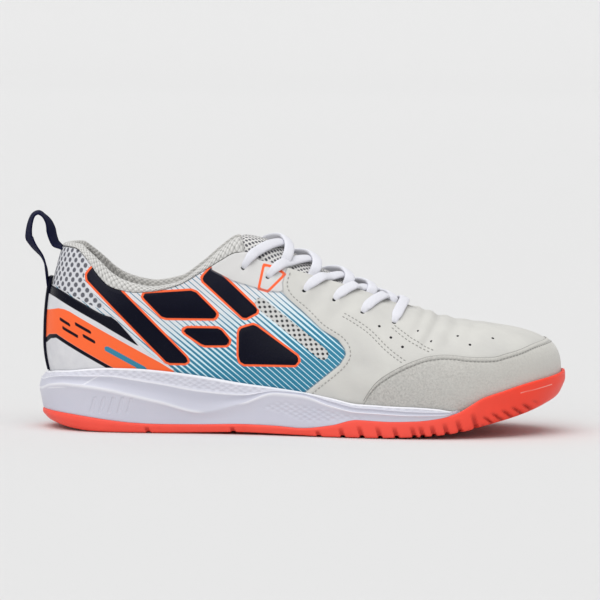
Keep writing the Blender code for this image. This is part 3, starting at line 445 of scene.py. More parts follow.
def turnAtOutline(x):
    # the turn whose plane ends at x on the outline
    at = np.linspace(0, 1, 4001)
    return np.interp(x, outlineCurve(at, "x") * shoe["length"], at)


def formPoints(turn, rise, side):
    # points of the form at turns and rises, on the outer side (-1) or the inner one (1)
    s = sectionsAt(turn if side < 0 else 2 - turn)
    return place(s, *wallAt(s, rise[:, None]))[:, 0]


def onForm(a, b, side, axes):
    # turns and rises on one side (-1 outer, 1 inner) where two coordinates are a and b, by Newton's steps
    turn, rise = turnAtSpine(a), np.full(len(a), 0.6)
    step = 1e-4
    for _ in range(40):
        here = formPoints(turn, rise, side)
        byTurn = ((formPoints(turn + step, rise, side) - here)[:, axes] / step).T
        byRise = ((formPoints(turn, rise - step, side) - here)[:, axes] / -step).T
        miss = np.stack([a, b]) - here[:, axes].T
        det = byTurn[0] * byRise[1] - byTurn[1] * byRise[0]
        goTurn = (miss[0] * byRise[1] - miss[1] * byRise[0]) / det
        goRise = (byTurn[0] * miss[1] - byTurn[1] * miss[0]) / det
        turn = np.clip(turn + np.clip(goTurn, -0.05, 0.05), 0.02, 0.98)
        rise = np.clip(rise + np.clip(goRise, -0.1, 0.1), -0.95, 0.995)
    return turn, rise


def formNormals(turn, rise, side):
    # away from the foot: cross product of the steps along and up the form, turned to the outside
    here = formPoints(turn, rise, side)
    along = formPoints(turn + 1e-3, rise, side) - here
    up = here - formPoints(turn, rise - 1e-2, side)
    normal = unit(np.cross(along, up))
    away = np.stack([0 * turn, here[:, 1] - spineY(here[:, 0]), 0.02 + 0 * turn], axis=1)
    return normal * np.where((normal * away).sum(axis=1) < 0, -1, 1)[:, None]


# Shapes drawn on the side, in millimetres
def sideView(points):
    # metres seen from the side, turned to millimetres
    return points[..., 0] * 1000, points[..., 2] * 1000


def lineDistance(x, z, spots):
    # distance to an open line of straight runs
    x, z, spots = [np.asarray(v, float) for v in (x, z, spots)]
    nearest = np.full(x.shape, 1e9)
    for a, b in zip(spots[:-1], spots[1:]):
        edge = b - a
        share = np.clip(((x - a[0]) * edge[0] + (z - a[1]) * edge[1]) / (edge @ edge), 0, 1)
        nearest = np.minimum(nearest, np.hypot(x - a[0] - share * edge[0], z - a[1] - share * edge[1]))
    return nearest


def outlineDistance(x, z, *shapes):
    # signed distance to the nearest polygon: negative inside, which the crossings of a ray tell
    found = []
    for corners in shapes:
        spots = np.array([*corners, corners[0]], float)
        inside = np.zeros(np.shape(x), bool)
        for a, b in zip(spots[:-1], spots[1:]):
            if a[1] != b[1]:
                crosses = (a[1] > z) != (b[1] > z)
                inside ^= crosses & (x < a[0] + (z - a[1]) / (b[1] - a[1]) * (b[0] - a[0]))
        found.append(lineDistance(x, z, spots) * np.where(inside, -1, 1))
    return np.min(found, axis=0)


def smoothLine(spots, step):
    # a line through the spots at even steps, rounded by a spline over its length where it has three or more
    spots = np.array(spots, float)
    run = np.concatenate([[0], np.cumsum(np.hypot(*np.diff(spots, axis=0).T))])
    at = np.linspace(0, run[-1], max(3, int(round(run[-1] / step)) + 1))
    curve = roundCurve if len(spots) > 2 else np.interp
    return np.stack([curve(at, run, spots[:, n]) for n in (0, 1)], axis=1)


# Panels on the side of the upper. The print is a plain design of slanted blocks over pinstripes.
throatSide = [(88, 140), (94.8, 88.8), (106.3, 83.1), (119.4, 79.3)]
panels = {
    "quarter": [(-30, -20), (-30, 140), *throatSide, (127, 77.6), (133.4, 77.4), (136.2, 73.8), (144.4, 67.1),
                (154.8, 57.7), (163.5, 52.6), (167.3, 47.6), (167.9, 44.6), (164.7, 39.4), (147.1, 24.6),
                (138, 16), (138, -20)],
    "eyestay": [*throatSide, (127, 77.8), (133.4, 77.4), (132.9, 82), (134.6, 88.4), (140, 100), (140, 140)],
    "heelMesh": [(-20, 84), (5.7, 85.8), (8.0, 125), (21, 125), (24.2, 97.0), (28.6, 90.5), (25.4, 86.5),
                 (25.2, 81.5), (27.4, 78.4), (37.6, 68.4), (34.6, 66.6), (8.8, 78.1), (-20, 79)],
    "vent": [(118.2, 71.6), (119.0, 73.4), (121.2, 74.2), (123.4, 73.3), (157.4, 47.2), (158.6, 45.0),
             (157.9, 42.4), (155.6, 41.4), (153.2, 42.2), (119.4, 68.6)],
    "badge": [(122.8, 91.6), (120.2, 78.9), (125.2, 77.5), (134.4, 86.5), (132.5, 87.9), (126.5, 90.8)],
}
blocks = [
    [(28.4, 87.6), (31.0, 90.4), (34.0, 88.6), (81.6, 41.4), (82.4, 39.2), (81.0, 38.2), (72.6, 38.2),
     (70.6, 39.0), (27.2, 82.4), (26.8, 85.4)],
    [(58.4, 75.8), (83.6, 77.6), (86.4, 76.6), (97.6, 65.8), (98.0, 63.6), (96.2, 62.6), (70.4, 62.6),
     (67.8, 63.4), (57.6, 73.6)],
    [(79.8, 56.6), (82.0, 57.4), (98.2, 57.4), (100.4, 56.4), (104.6, 51.6), (105.0, 49.6), (103.2, 48.2),
     (91.6, 48.0), (89.4, 48.8), (80.0, 55.0)],
    [(89.6, 84.8), (94.2, 90.0), (96.6, 89.4), (119.6, 68.2), (119.6, 66.2), (113.6, 63.0), (111.6, 63.4),
     (90.0, 82.8)],
    [(110.4, 57.4), (117.4, 59.6), (119.6, 58.8), (141.6, 43.4), (142.6, 41.0), (140.6, 38.4), (113.0, 38.2),
     (110.6, 39.6), (109.8, 42.6), (109.8, 55.4)],
]
stitchRuns = {
    "vampEdge": [(136.8, 86.4), (135.6, 80.8), (138.0, 75.6), (146.0, 69.0), (156.4, 59.4), (165.4, 54.0),
                 (169.8, 48.6), (170.2, 43.4), (166.6, 37.6), (156.4, 28.8), (150.4, 23.6)],
    "quiltA": [(166.4, 64.2), (173.0, 60.4), (180.2, 55.6), (188.3, 47.9), (197.4, 41.2)],
    "quiltB": [(167.4, 65.8), (174.2, 62.0), (181.6, 57.0), (189.8, 49.2), (199.4, 42.2)],
    "quiltC": [(193.0, 58.2), (203.0, 51.0), (212.0, 46.6)],
    "quiltD": [(194.4, 59.4), (204.6, 52.4), (214.2, 47.4)],
}
punchSpots = [(185.7, 59.3), (192.0, 53.6), (198.3, 48.9), (206.9, 56.9), (214.0, 51.7), (228.4, 54.1),
              (234.8, 49.9), (247.4, 52.9)]
creases = [  # x, z of both ends, depth and half width of each soft trough, millimetres
    ((211.0, 51.5), (219.5, 64.0), 0.80, 2.4),
    ((205.0, 55.0), (212.0, 66.5), 0.55, 2.2),
    ((224.0, 52.5), (229.5, 61.5), 0.50, 2.8),
    ((233.0, 53.0), (238.0, 59.5), 0.30, 2.8),
    ((148.0, 70.0), (158.0, 81.0), 0.50, 3.5),
    ((174.0, 40.0), (186.0, 36.0), 0.40, 4.0),
    ((162.0, 64.0), (172.0, 75.0), 0.40, 3.5),
    ((140.0, 60.0), (143.0, 50.0), 0.35, 4.0),
]


# Meshes
def buildMesh(name, points, faces, uv=None, values=None, slots=None, weld=2e-6):
    # points in shoe coordinates, faces as corner numbers, uv and values for each point, slots for each face
    points = np.asarray(points, float).reshape(-1, 3) + np.array(shoe["moveToFrame"])
    mesh = bpy.data.meshes.new(name)
    mesh.from_pydata(points.tolist(), [], [list(map(int, face)) for face in faces])
    if uv is not None:
        corner = np.empty(len(mesh.loops), np.int32)
        mesh.loops.foreach_get("vertex_index", corner)
        mesh.uv_layers.new(name="surface").data.foreach_set("uv", uv.reshape(-1, 2)[corner].ravel())
    for label, value in (values or {}).items():
        layer = mesh.attributes.new(label, "FLOAT", "POINT")
        layer.data.foreach_set("value", np.asarray(value, np.float32).ravel())
    if slots is not None:
        mesh.polygons.foreach_set("material_index", np.asarray(slots, np.int32))
    work = bmesh.new()
    work.from_mesh(mesh)
    bmesh.ops.remove_doubles(work, verts=work.verts, dist=weld)
    bmesh.ops.dissolve_degenerate(work, edges=work.edges, dist=weld)
    bmesh.ops.recalc_face_normals(work, faces=work.faces)
    work.to_mesh(mesh)
    work.free()
    mesh.polygons.foreach_set("use_smooth", np.ones(len(mesh.polygons), bool))
    thing = bpy.data.objects.new(name, mesh)
    bpy.context.scene.collection.objects.link(thing)
    return thing


def gridFaces(count, rows, closedRound, closedLoop):
    # quads between neighbouring loops of points, numbered loop by loop, and the loop and row of each
    i = np.arange(count if closedRound else count - 1)
    k = np.arange(rows if closedLoop else rows - 1)
    i, k = [part.ravel() for part in np.meshgrid(i, k, indexing="ij")]
    j, m = (i + 1) % count, (k + 1) % rows
    return np.stack([i * rows + k, j * rows + k, j * rows + m, i * rows + m], axis=1), i, k


def tubeFaces(count, around):
    # a tube of loops closed at both ends by faces that run across from one half of the loop to the other
    faces = gridFaces(count, around, False, True)[0].tolist()
    ring = [[j, j + 1, around - 1 - j, (around - j) % around] for j in range(around // 2)]
    ends = [list(dict.fromkeys(face)) for face in ring]
    return faces + ends + [[corner + (count - 1) * around for corner in face] for face in ends]


def lengthAlong(points, way=0):
    # running length from nought along one way of a grid of points
    run = np.cumsum(np.linalg.norm(np.diff(points, axis=way), axis=-1), axis=way)
    return np.concatenate([0 * run.take([0], axis=way), run], axis=way)


def surfaceMap(run, climb):
    # a UV map in metres: how far round the piece, and how far along its section
    return np.stack(np.broadcast_arrays(run[:, None], climb), axis=-1)


def ringTurns(count, *more):
    # the whole ring: along the outer side to the toe, then back along the inner side
    half = np.unique([*np.linspace(0, 1, count), *more])
    return np.concatenate([half, 2 - half[-2:0:-1]])


def toeTurns(start, count):
    # from the outer side round the toe to the inner side
    half = np.linspace(start, 1, count)
    return np.concatenate([half, 2 - half[-2::-1]])


def heelTurns(end, count):
    # from the outer side round the back of the heel to the inner side
    half = np.linspace(0, end, count)
    turns = np.concatenate([half[::-1], -half[1:]])
    return np.where(turns < 0, 2 + turns, turns)


def finishPiece(thing, material, node=None, sharp=None):
    # gives a piece its materials, sends it with the body and hides the frame's node that it stands for
    for one in material if isinstance(material, list) else [material]:
        thing.data.materials.append(one)
    if sharp is not None:
        thing.data.set_sharp_from_angle(angle=np.radians(sharp))
    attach(thing, "root")
    if node:
        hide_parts(node)
    return thing


# Materials
def colour(code):
    # an sRGB hex colour turned linear
    part = np.array([int(code[i : i + 2], 16) for i in (1, 3, 5)]) / 255
    linear = np.where(part <= 0.04045, part / 12.92, ((part + 0.055) / 1.055) ** 2.4)
    return (*linear, 1)


def addNode(tree, kind, links=(), output=0, **settings):
    # one node with its settings and its inputs, in order or by name, linked or set; gives back one output
    node = tree.nodes.new("ShaderNode" + kind)
    for key, value in settings.items():
        setattr(node, key, value)
    for socket, value in links.items() if isinstance(links, dict) else enumerate(links):
        if isinstance(value, bpy.types.NodeSocket):
            tree.links.new(value, node.inputs[socket])
        else:
            node.inputs[socket].default_value = colour(value) if isinstance(value, str) else value
    return node.outputs[output]


def newMaterial(name, reads, fixed):
    # a principled material with what is the same all over set on its shader, and what its pattern reads:
    # spot (object coordinates), uv (the surface's map) or the label of a value that the mesh carries
    material = bpy.data.materials.new(name)
    material.use_nodes = True
    tree = material.node_tree
    shader = next(node for node in tree.nodes if node.type == "BSDF_PRINCIPLED")
    for key, value in fixed.items():
        shader.inputs[key].default_value = value
    found = []
    for label in reads.split():
        if label == "spot":
            found.append(addNode(tree, "TexCoord", output="Object"))
        elif label == "uv":
            found.append(addNode(tree, "UVMap", uv_map="surface"))
        else:
            settings = {"attribute_name": label, "attribute_type": "GEOMETRY"}
            found.append(addNode(tree, "Attribute", (), "Fac", **settings))
    return material, tree, *found


def paint(tree, ground, *coats):
    # coats over a ground of colour or plain values, each (what, mask, mask ...), shown where its masks are 1
    plain = isinstance(ground, float) or getattr(ground, "type", "") == "VALUE"
    low, over, output, kind = (2, 3, 0, "FLOAT") if plain else (6, 7, 2, "RGBA")
    for coat, mask, *masks in coats:
        for more in masks:
            mask = addNode(tree, "Math", [mask, more], operation="MULTIPLY")
        ground = addNode(tree, "Mix", {0: mask, low: ground, over: coat}, output, data_type=kind)
    return ground


def within(tree, source, high, soft=0.12, low=None):
    # 1 where a distance is below high, and above low if there is one, with soft edges
    mask = addNode(tree, "MapRange", [source, high - soft, high + soft, 1, 0])
    if low is None:
        return mask
    over = addNode(tree, "MapRange", [source, low - soft, low + soft])
    return addNode(tree, "Math", [over, mask], operation="MULTIPLY")


def staggered(tree, vector, along, up):
    # distance to the nearest point of a staggered lattice, which is a square one turned by 45 degrees
    root = 2**0.5
    wide = addNode(tree, "Mapping", {"Vector": vector, "Scale": (root / along, root / up, 0)})
    turned = addNode(tree, "Mapping", {"Vector": wide, "Rotation": (0, 0, np.pi / 4)})
    inputs = {"Vector": turned, "Scale": 1, "Randomness": 0}
    return addNode(tree, "TexVoronoi", inputs, "Distance", voronoi_dimensions="2D")


def cloudy(tree, vector, size, detail, low=0.0, high=1.0, share=1.0, rough=0.5):
    # noise with grains of a size in millimetres, from none where it is low to the full share where it is high
    inputs = {"Vector": vector, "Scale": 1000 / size, "Detail": detail, "Roughness": rough}
    return addNode(tree, "MapRange", [addNode(tree, "TexNoise", inputs), low, high, 0, share])


def finishMaterial(material, tone, *bumps, gloss=None):
    # links colour, roughness and bumps, each (height, depth in metres, strength) and laid on the one before
    tree = material.node_tree
    shader = next(node for node in tree.nodes if node.type == "BSDF_PRINCIPLED")
    links = {"Base Color": tone, "Roughness": gloss}
    for height, depth, strength in bumps:
        inputs = {"Height": height, "Distance": depth, "Strength": strength}
        if "Normal" in links:
            inputs["Normal"] = links["Normal"]
        links["Normal"] = addNode(tree, "Bump", inputs)
    for socket, value in links.items():
        if value is not None:
            tree.links.new(value, shader.inputs[socket])
    return material


# Upper
upper = {
    "columns": 345,  # on each side
    "rows": 106,
    "innerRows": 14,
    "vampStep": 0.85,  # millimetres that the vamp lies over the printed quarter
    "eyestayStep": 0.40,
    "blockStep": 0.22,
    "meshDepth": 0.30,
    "grooves": {"vampEdge": 0.12, "quiltA": 0.28, "quiltB": 0.28, "quiltC": 0.12, "quiltD": 0.12},
    "stripePitch": 0.0023,
    "stripeSlope": 40,  # degrees
    "heelMeshPitch": (0.0046, 0.0054),  # metres from hole to hole, round the upper and up
    "ventPitch": (0.0040, 0.0034),
    "ventLean": 37.5,
    "leather": "#D2D1CC",
    "leatherShade": "#C9C8C4",
    "quarterGround": "#E0E0E3",
    "eyestayLeather": "#D7D6D5",
    "seamShade": "#6F7078",
    "stripe": "#36809D",
    "stripeLight": "#CFECF6",
    "block": "#08091A",
    "blockPaintedSheen": "#1E1F2C",
    "outline": "#FF6B3D",
    "meshThread": "#D6D7DC",
    "meshHole": "#66676F",
    "ventThread": "#CDCDCB",
    "ventHole": "#3E3F42",
    # the painted shadow inside each lace hole
    "laceHole": "#17171B",
    "lining": "#A9A6A0",
    "liningShade": "#75726D",
}

laceHoles = {}  # points and normals of the holes on each side: -1 outer, 1 inner
for side in (-1, 1):
    spots = onForm(holeTable["x"] * shoe["length"], holeTable["z"] * shoe["heelHeight"], side, [0, 2])
    laceHoles[side] = formPoints(*spots, side), formNormals(*spots, side)


def reliefOf(x, z, points=None):
    # height of the upper's surface over the last's form in millimetres: steps at panel edges, troughs of
    # creases, grooves under stitching, sunken mesh
    far = {name: outlineDistance(x, z, panels[name]) for name in ("quarter", "eyestay", "heelMesh", "vent")}
    high = upper["vampStep"] * ease((np.minimum(far["quarter"], far["eyestay"]) + 0.2) / 0.8)
    high += upper["eyestayStep"] * ease((-far["eyestay"] + 0.2) / 0.8)
    high += upper["blockStep"] * ease(-outlineDistance(x, z, *blocks) / 0.7 + 0.3)
    high -= upper["meshDepth"] * (ease(-far["heelMesh"] / 1.2) + ease(-far["vent"] / 1.0))
    for name, depth in upper["grooves"].items():
        high -= depth * np.exp(-((lineDistance(x, z, smoothLine(stitchRuns[name], 2.0)) / 0.8) ** 2))
    for start, end, depth, half in creases:
        away = lineDistance(x, z, [start, end])
        high -= depth * np.exp(-((away / half) ** 2))
        high += 0.45 * depth * np.exp(-(((away - 2.1 * half) / (1.1 * half)) ** 2))
    if points is not None:
        high -= 0.7 * (1 - ease((holeDistance(points) - 0.9) / 1.5))
    return high


def holeDistance(points):
    # millimetres to the nearest lace hole
    away = [np.linalg.norm(points - spot, axis=-1) for spots, _ in laceHoles.values() for spot in spots]
    return np.min(away, axis=0) * 1000


def makeUpper():
    # outer face in fine rows, a half-round edge and the lining face back down, one closed loop for a section
    s = sectionsAt(ringTurns(upper["columns"], turnAtSpine(throatEnd)))
    count, rows = len(s["turn"]), upper["rows"]
    top = topRise(s)[:, None]
    closedOver = top >= 1 - 1e-9
    share = np.linspace(0, 1, rows)
    base = place(s, *offsetWall(s, mix(-1, top, share), 0))
    along = np.roll(base, -1, axis=0) - np.roll(base, 1, axis=0)
    normal = unit(np.cross(along, np.gradient(base, axis=1)))
    mirror = (count - np.arange(count)) % count
    normal[:, -1] = np.where(closedOver, unit(normal[:, -1] + normal[mirror, -1]), normal[:, -1])
    keepEdge = ease(((1 - share) * 60 - 1) / 3) * (1 - closedOver) + closedOver
    outer = base + normal * (reliefOf(*sideView(base), base) * keepEdge)[..., None] / 1000
    innerRise = mix(-1, top, np.linspace(1, 0, upper["innerRows"]))
    inner = place(s, *offsetWall(s, innerRise, -shoe["wall"]))
    inner[:, -1, 2] = outer[:, 0, 2]
    middle, outWay = (outer[:, [-1]] + inner[:, [0]]) / 2, (outer[:, [-1]] - inner[:, [0]]) / 2
    upWay = (unit(outer[:, -1] - outer[:, -3]) * shoe["wall"] / 4 * (1 - closedOver))[:, None]
    turns = np.pi * np.array([0.2, 0.4, 0.6, 0.8])[:, None]
    loops = np.concatenate([outer, middle + np.cos(turns) * outWay + np.sin(turns) * upWay, inner], axis=1)
    faces, i, k = gridFaces(count, loops.shape[1], True, True)
    closed = closedOver[:, 0]
    kept = ~(closed[i] & closed[(i + 1) % count] & (k >= rows - 1) & (k < rows + 4))
    climb = lengthAlong(loops, 1)
    x, z = sideView(loops)
    values = {name: outlineDistance(x, z, corners) for name, corners in panels.items()}
    values["blocks"] = outlineDistance(x, z, *blocks)
    values["laceHole"] = holeDistance(loops)
    uv = surfaceMap(lengthAlong(base[:, 0]), climb)
    return buildMesh("upperSkin", loops, faces[kept], uv, values, k[kept] >= rows + 3)


def pressedLeatherWithPrint():
    # smooth split leather, fine pressed grain, a printed film on the quarter: semi-matt, its blocks glossy
    fixed = {"IOR": 1.46, "Specular IOR Level": 0.12}
    material, tree, uv, spot, quarter, eyestay, block, heelMesh, vent, badge, laceHole = newMaterial(
        "pressedLeatherWithPrintedFilm", "uv spot quarter eyestay blocks heelMesh vent badge laceHole", fixed)
    x = addNode(tree, "SeparateXYZ", [spot])
    z = x.node.outputs[2]
    # stripes: lines of constant height over a slope, wider towards the lower front
    slope = np.radians(upper["stripeSlope"])
    part = addNode(tree, "Math", [x, float(np.sin(slope) / upper["stripePitch"])], operation="MULTIPLY")
    across = [z, float(np.cos(slope) / upper["stripePitch"]), part]
    across = addNode(tree, "Math", across, operation="MULTIPLY_ADD")
    saw = addNode(tree, "Math", [across], operation="FRACT")
    lean = addNode(tree, "Math", [x, 0.28], operation="MULTIPLY")
    fall = addNode(tree, "Math", [z, -1.0, lean], operation="MULTIPLY_ADD")
    wide = addNode(tree, "MapRange", [fall, -0.078, -0.040, 0.17, 0.82])
    stripe = addNode(tree, "Math", [wide, saw], operation="SUBTRACT")
    stripe = addNode(tree, "MapRange", [stripe, -0.04, 0.04])
    tint = addNode(tree, "MapRange", [fall, -0.085, -0.050])
    printed = paint(tree, upper["quarterGround"], (upper["stripeLight"], tint), (upper["stripe"], stripe))
    # painted reflection: the glossy blocks are lighter towards their tops
    paintedSheen = addNode(tree, "MapRange", [z, 0.066, 0.092])
    film = paint(tree, upper["block"], (upper["blockPaintedSheen"], paintedSheen))
    onQuarter, onMesh, onVent = [within(tree, panel, 0) for panel in (quarter, heelMesh, vent)]
    onBlock = addNode(tree, "Math", [onQuarter, within(tree, block, 0)], operation="MULTIPLY")
    hole = within(tree, staggered(tree, uv, *upper["heelMeshPitch"]), 0.33, 0.07)
    flat = addNode(tree, "CombineXYZ", [x, z])
    leaning = addNode(tree, "Mapping", {"Vector": flat, "Rotation": (0, 0, np.radians(upper["ventLean"]))})
    pore = within(tree, staggered(tree, leaning, *upper["ventPitch"]), 0.27, 0.05)
    # shade in the step beside each panel edge
    seams = [within(tree, quarter, 0.1, 0.3, -0.7), within(tree, eyestay, 0.5, 0.3, -0.1)]
    seam = addNode(tree, "Math", seams, operation="MAXIMUM")
    tone = paint(tree, upper["leather"],
                 (upper["leatherShade"], cloudy(tree, spot, 22, 3, 0.35, 0.7)),
                 (printed, onQuarter),
                 (upper["eyestayLeather"], within(tree, eyestay, 0)),
                 (upper["outline"], onQuarter, within(tree, block, 1.15)),
                 (film, onBlock),
                 (paint(tree, upper["meshThread"], (upper["meshHole"], hole)), onMesh),
                 (paint(tree, upper["ventThread"], (upper["ventHole"], pore)), onVent),
                 (upper["outline"], within(tree, badge, 0.7, low=-0.7)),
                 (upper["seamShade"], seam, 0.5),
                 # a painted shadow inside each lace hole
                 (upper["laceHole"], within(tree, laceHole, 1.30, 0.15)))
    gloss = paint(tree, 0.56, (0.42, onQuarter), (0.20, onBlock), (0.8, onMesh))
    grain = addNode(tree, "TexVoronoi", {"Vector": uv, "Scale": 900.0}, feature="DISTANCE_TO_EDGE")
    grain = paint(tree, grain, (cloudy(tree, uv, 0.9, 3), 0.5))
    sunk = paint(tree, 0.0, (hole, onMesh), (pore, onVent))
    sunk = addNode(tree, "Math", [sunk, -1.0], operation="MULTIPLY")
    return finishMaterial(material, tone, (grain, 0.00018, 0.55), (sunk, 0.0006, 0.9), gloss=gloss)


def brushedLining():
    # warp-knitted polyester lining, brushed: soft and matt, with fine loops
    fixed = {"Roughness": 0.95, "IOR": 1.45, "Sheen Weight": 0.25}
    material, tree, uv = newMaterial("brushedPolyesterLining", "uv", fixed)
    loops = staggered(tree, uv, 0.0016, 0.0014)
    tone = paint(tree, upper["lining"], (upper["liningShade"], within(tree, loops, 0.3, 0.12)))
    return finishMaterial(material, tone, (loops, 0.0004, 0.7))


skin = finishPiece(makeUpper(), [pressedLeatherWithPrint(), brushedLining()], "upper")
print("upper:", len(skin.data.polygons), "faces")


# Overlays: toe cap, heel counter, heel tape
overlays = {
    "capThick": 0.0010,
    "capStart": 0.6165,  # share of the length
    "capLift": 0.0006,  # from the upper's form to the cap's underside
    "capRound": 0.0009,
    "capGroove": 0.00022,
    "filmRound": 0.0006,
    "counterThick": 0.0008,
    "counterEnd": 0.2600,
    "tapeWidth": 0.011,
    "tapeThick": 0.0008,
    "tapeLow": 0.318,  # shares of the heel height
    "tapeHigh": 0.815,
    "suede": "#C6C4BF",
    "suedeNap": "#A9A7A3",
    "suedeCloud": "#C0C0BC",
    "suedeToe": "#D1CFC8",
    "suedePaintedShade": "#75746F",
    "film": "#DCDCDF",
    "filmShade": "#CFCFD4",
    "orange": "#FF6E3C",
    "navy": "#0B0C1A",
    "turquoise": "#3B86A2",
    "tape": "#0B0C18",
    "tapeShade": "#141628",
}
bandEdge = [(41.9, 35.3), (10.2, 52.3), (6.0, 51.6), (3.3, 48.8), (-30, 48.8)]
heelShapes = {
    "wedge": [[(-30, 79), (5.6, 79), (8.8, 78.4), (40.5, 63.0), (44, 60.5), (56.0, 47.2), (53.0, 48.6),
               (33.0, 60.0), (9.0, 72.2), (5.4, 73.4), (-30, 73.4)]],
    "orange": [[(-30, 63.6), (3.2, 64.3), (11.2, 66.3), (14.6, 66.0), (17.6, 65.0), (67.4, 38.5), (80, 31.0),
                (80, 26), (50, 26), *bandEdge]],
    "underline": [[(-30, 46.6), (4.2, 46.6), (7.0, 49.4), (10.2, 50.0), (38.0, 35.2), (44, 31), (48, 31),
                   *bandEdge]],
    "bar": [[(36.9, 44.8), (37.3, 46.6), (38.8, 47.0), (59.3, 36.1), (62, 33), (56, 33), (54.4, 35.6)]],
    "dashes": [[(12.0, 61.6), (18.2, 58.4), (18.2, 56.6), (12.0, 59.8)],
               [(13.6, 57.0), (22.6, 52.4), (22.6, 50.6), (13.6, 55.2)],
               [(20.6, 59.6), (29.8, 54.9), (29.8, 53.1), (20.6, 57.8)],
               [(25.0, 53.4), (32.2, 49.7), (32.2, 47.9), (25.0, 51.6)]],
}


def overlayPiece(name, s, low, high, inner, thick, rows, edge, shapes=None, groove=0.0):
    # a strip on the upper. Its outer face comes down in a quarter round at its upper edge, where rows crowd
    share = 1 - (1 - np.linspace(0, 1, rows)) ** 1.6
    rise = mix(low[:, None], high[:, None], share)
    base = place(s, *offsetWall(s, rise, 0))
    fromTop = lengthAlong(base[:, ::-1], 1)[:, ::-1]
    fallen = np.sqrt(np.clip(1 - (1 - np.clip(fromTop / edge, 0, 1)) ** 2, 0, 1))
    height = inner + thick * (0.12 + 0.88 * fallen) - groove * np.exp(-(((fromTop - 0.0025) / 0.0007) ** 2))
    outer = base + (place(s, *offsetWall(s, rise, 1e-3)) - base) * (height * 1000)[..., None]
    under = place(s, *offsetWall(s, rise, inner * 0.4))[:, ::-1]
    loops = np.concatenate([outer, under], axis=1)
    values = {label: outlineDistance(*sideView(loops), *drawn) for label, drawn in (shapes or {}).items()}
    values["fromTop"] = np.concatenate([fromTop, fromTop[:, ::-1]], axis=1) * 1000
    uv = surfaceMap(lengthAlong(base[:, 0]), lengthAlong(loops, 1))
    return buildMesh(name, loops, tubeFaces(*loops.shape[:2]), uv, values)


def brushedSuede():
    # split suede, brushed: very matt with a short uneven nap, shade painted along its rounded top edge and in
    # the stitch groove
    fixed = {"Roughness": 0.96, "IOR": 1.45, "Sheen Weight": 0.35, "Sheen Roughness": 0.55}
    material, tree, spot, fromTop = newMaterial("brushedSuede", "spot fromTop", fixed)
    nap = cloudy(tree, spot, 1.1, 5, rough=0.75)
    toe = addNode(tree, "MapRange", [addNode(tree, "SeparateXYZ", [spot]), 0.06, 0.13, 0, 0.7])
    tone = paint(tree, overlays["suede"],
                 (overlays["suedeNap"], addNode(tree, "MapRange", [nap, 0.42, 0.62, 0, 0.9])),
                 (overlays["suedeCloud"], cloudy(tree, spot, 14, 2, 0.4, 0.75, 0.5)),
                 (overlays["suedeToe"], toe),
                 # painted shade along the cap's rounded top edge, and at half strength in the stitch groove
                 # below it
                 (overlays["suedePaintedShade"], within(tree, fromTop, 0.45, 0.25)),
                 (overlays["suedePaintedShade"], within(tree, fromTop, 3.0, 0.4, 2.0), 0.5))
    return finishMaterial(material, tone, (nap, 0.00035, 0.8))


def mouldedHeelFilm():
    # thin TPU film, hot-pressed and screen printed: even, semi-gloss, crisp print edges
    fixed = {"IOR": 1.5, "Specular IOR Level": 0.12}
    material, tree, spot, underline, orange, bar, dashes, wedge = newMaterial(
        "hotPressedHeelFilm", "spot underline orange bar dashes wedge", fixed)
    prints = ((underline, "navy"), (orange, "orange"), (bar, "turquoise"), (dashes, "navy"), (wedge, "navy"))
    tone = paint(tree, overlays["film"], (overlays["filmShade"], cloudy(tree, spot, 9, 3, 0.4, 0.7, 0.8)),
                 *[(overlays[name], within(tree, shape, 0, 0.15)) for shape, name in prints])
    gloss = paint(tree, 0.46, (0.26, within(tree, wedge, 0)))
    return finishMaterial(material, tone, (cloudy(tree, spot, 0.8, 3), 0.00012, 0.5), gloss=gloss)


def glossTape():
    # polyurethane-coated tape, heat-bonded: dark, smooth, a soft gloss with a fine weave under it
    fixed = {"Roughness": 0.45, "IOR": 1.48, "Specular IOR Level": 0.08}
    material, tree, spot = newMaterial("coatedHeelTape", "spot", fixed)
    weave = cloudy(tree, spot, 0.7, 2)
    tone = paint(tree, overlays["tape"], (overlays["tapeShade"], weave))
    return finishMaterial(material, tone, (weave, 0.00012, 0.5))


def belowRim(s, high):
    # the row where an overlay's lower edge hides behind the midsole's rim
    rim = smooth(s["x"] / shoe["length"], soleHeights["x"], soleHeights["rim"]) * shoe["heelHeight"]
    return np.minimum(riseAtHeight(s, rim - 0.0025), high - 0.06)


def makeOverlays():
    # each strip runs from a line under the rim to its own upper line
    s = sectionsAt(toeTurns(turnAtOutline(overlays["capStart"] * shoe["length"]), 150))
    high = riseUnder(s, capLine)
    lift, thick, edge = overlays["capLift"], overlays["capThick"], overlays["capRound"]
    groove = overlays["capGroove"]
    cap = overlayPiece("toeCapSuede", s, belowRim(s, high), high, lift, thick, 46, edge, groove=groove)
    finishPiece(cap, brushedSuede(), "toe_cap")
    s = sectionsAt(heelTurns(turnAtOutline(overlays["counterEnd"] * shoe["length"]), 110))
    high = riseUnder(s, counterLine)
    gap, thick, edge = shoe["gap"], overlays["counterThick"], overlays["filmRound"]
    counter = overlayPiece("heelFilm", s, belowRim(s, high), high, gap, thick, 64, edge, heelShapes)
    finishPiece(counter, mouldedHeelFilm(), "heel_counter")
    s = sectionsAt(heelTurns(overlays["tapeWidth"] / 2 / halfOutline, 12))
    ends = [overlays[name] * shoe["heelHeight"] + 0 * s["turn"] for name in ("tapeLow", "tapeHigh")]
    low, high = [riseAtHeight(s, height) for height in ends]
    tape = overlayPiece("heelTape", s, low, high, 3 * gap + thick, overlays["tapeThick"], 60, edge)
    finishPiece(tape, glossTape(), "heel_tape")


makeOverlays()
print("toe cap, heel film and tape made")


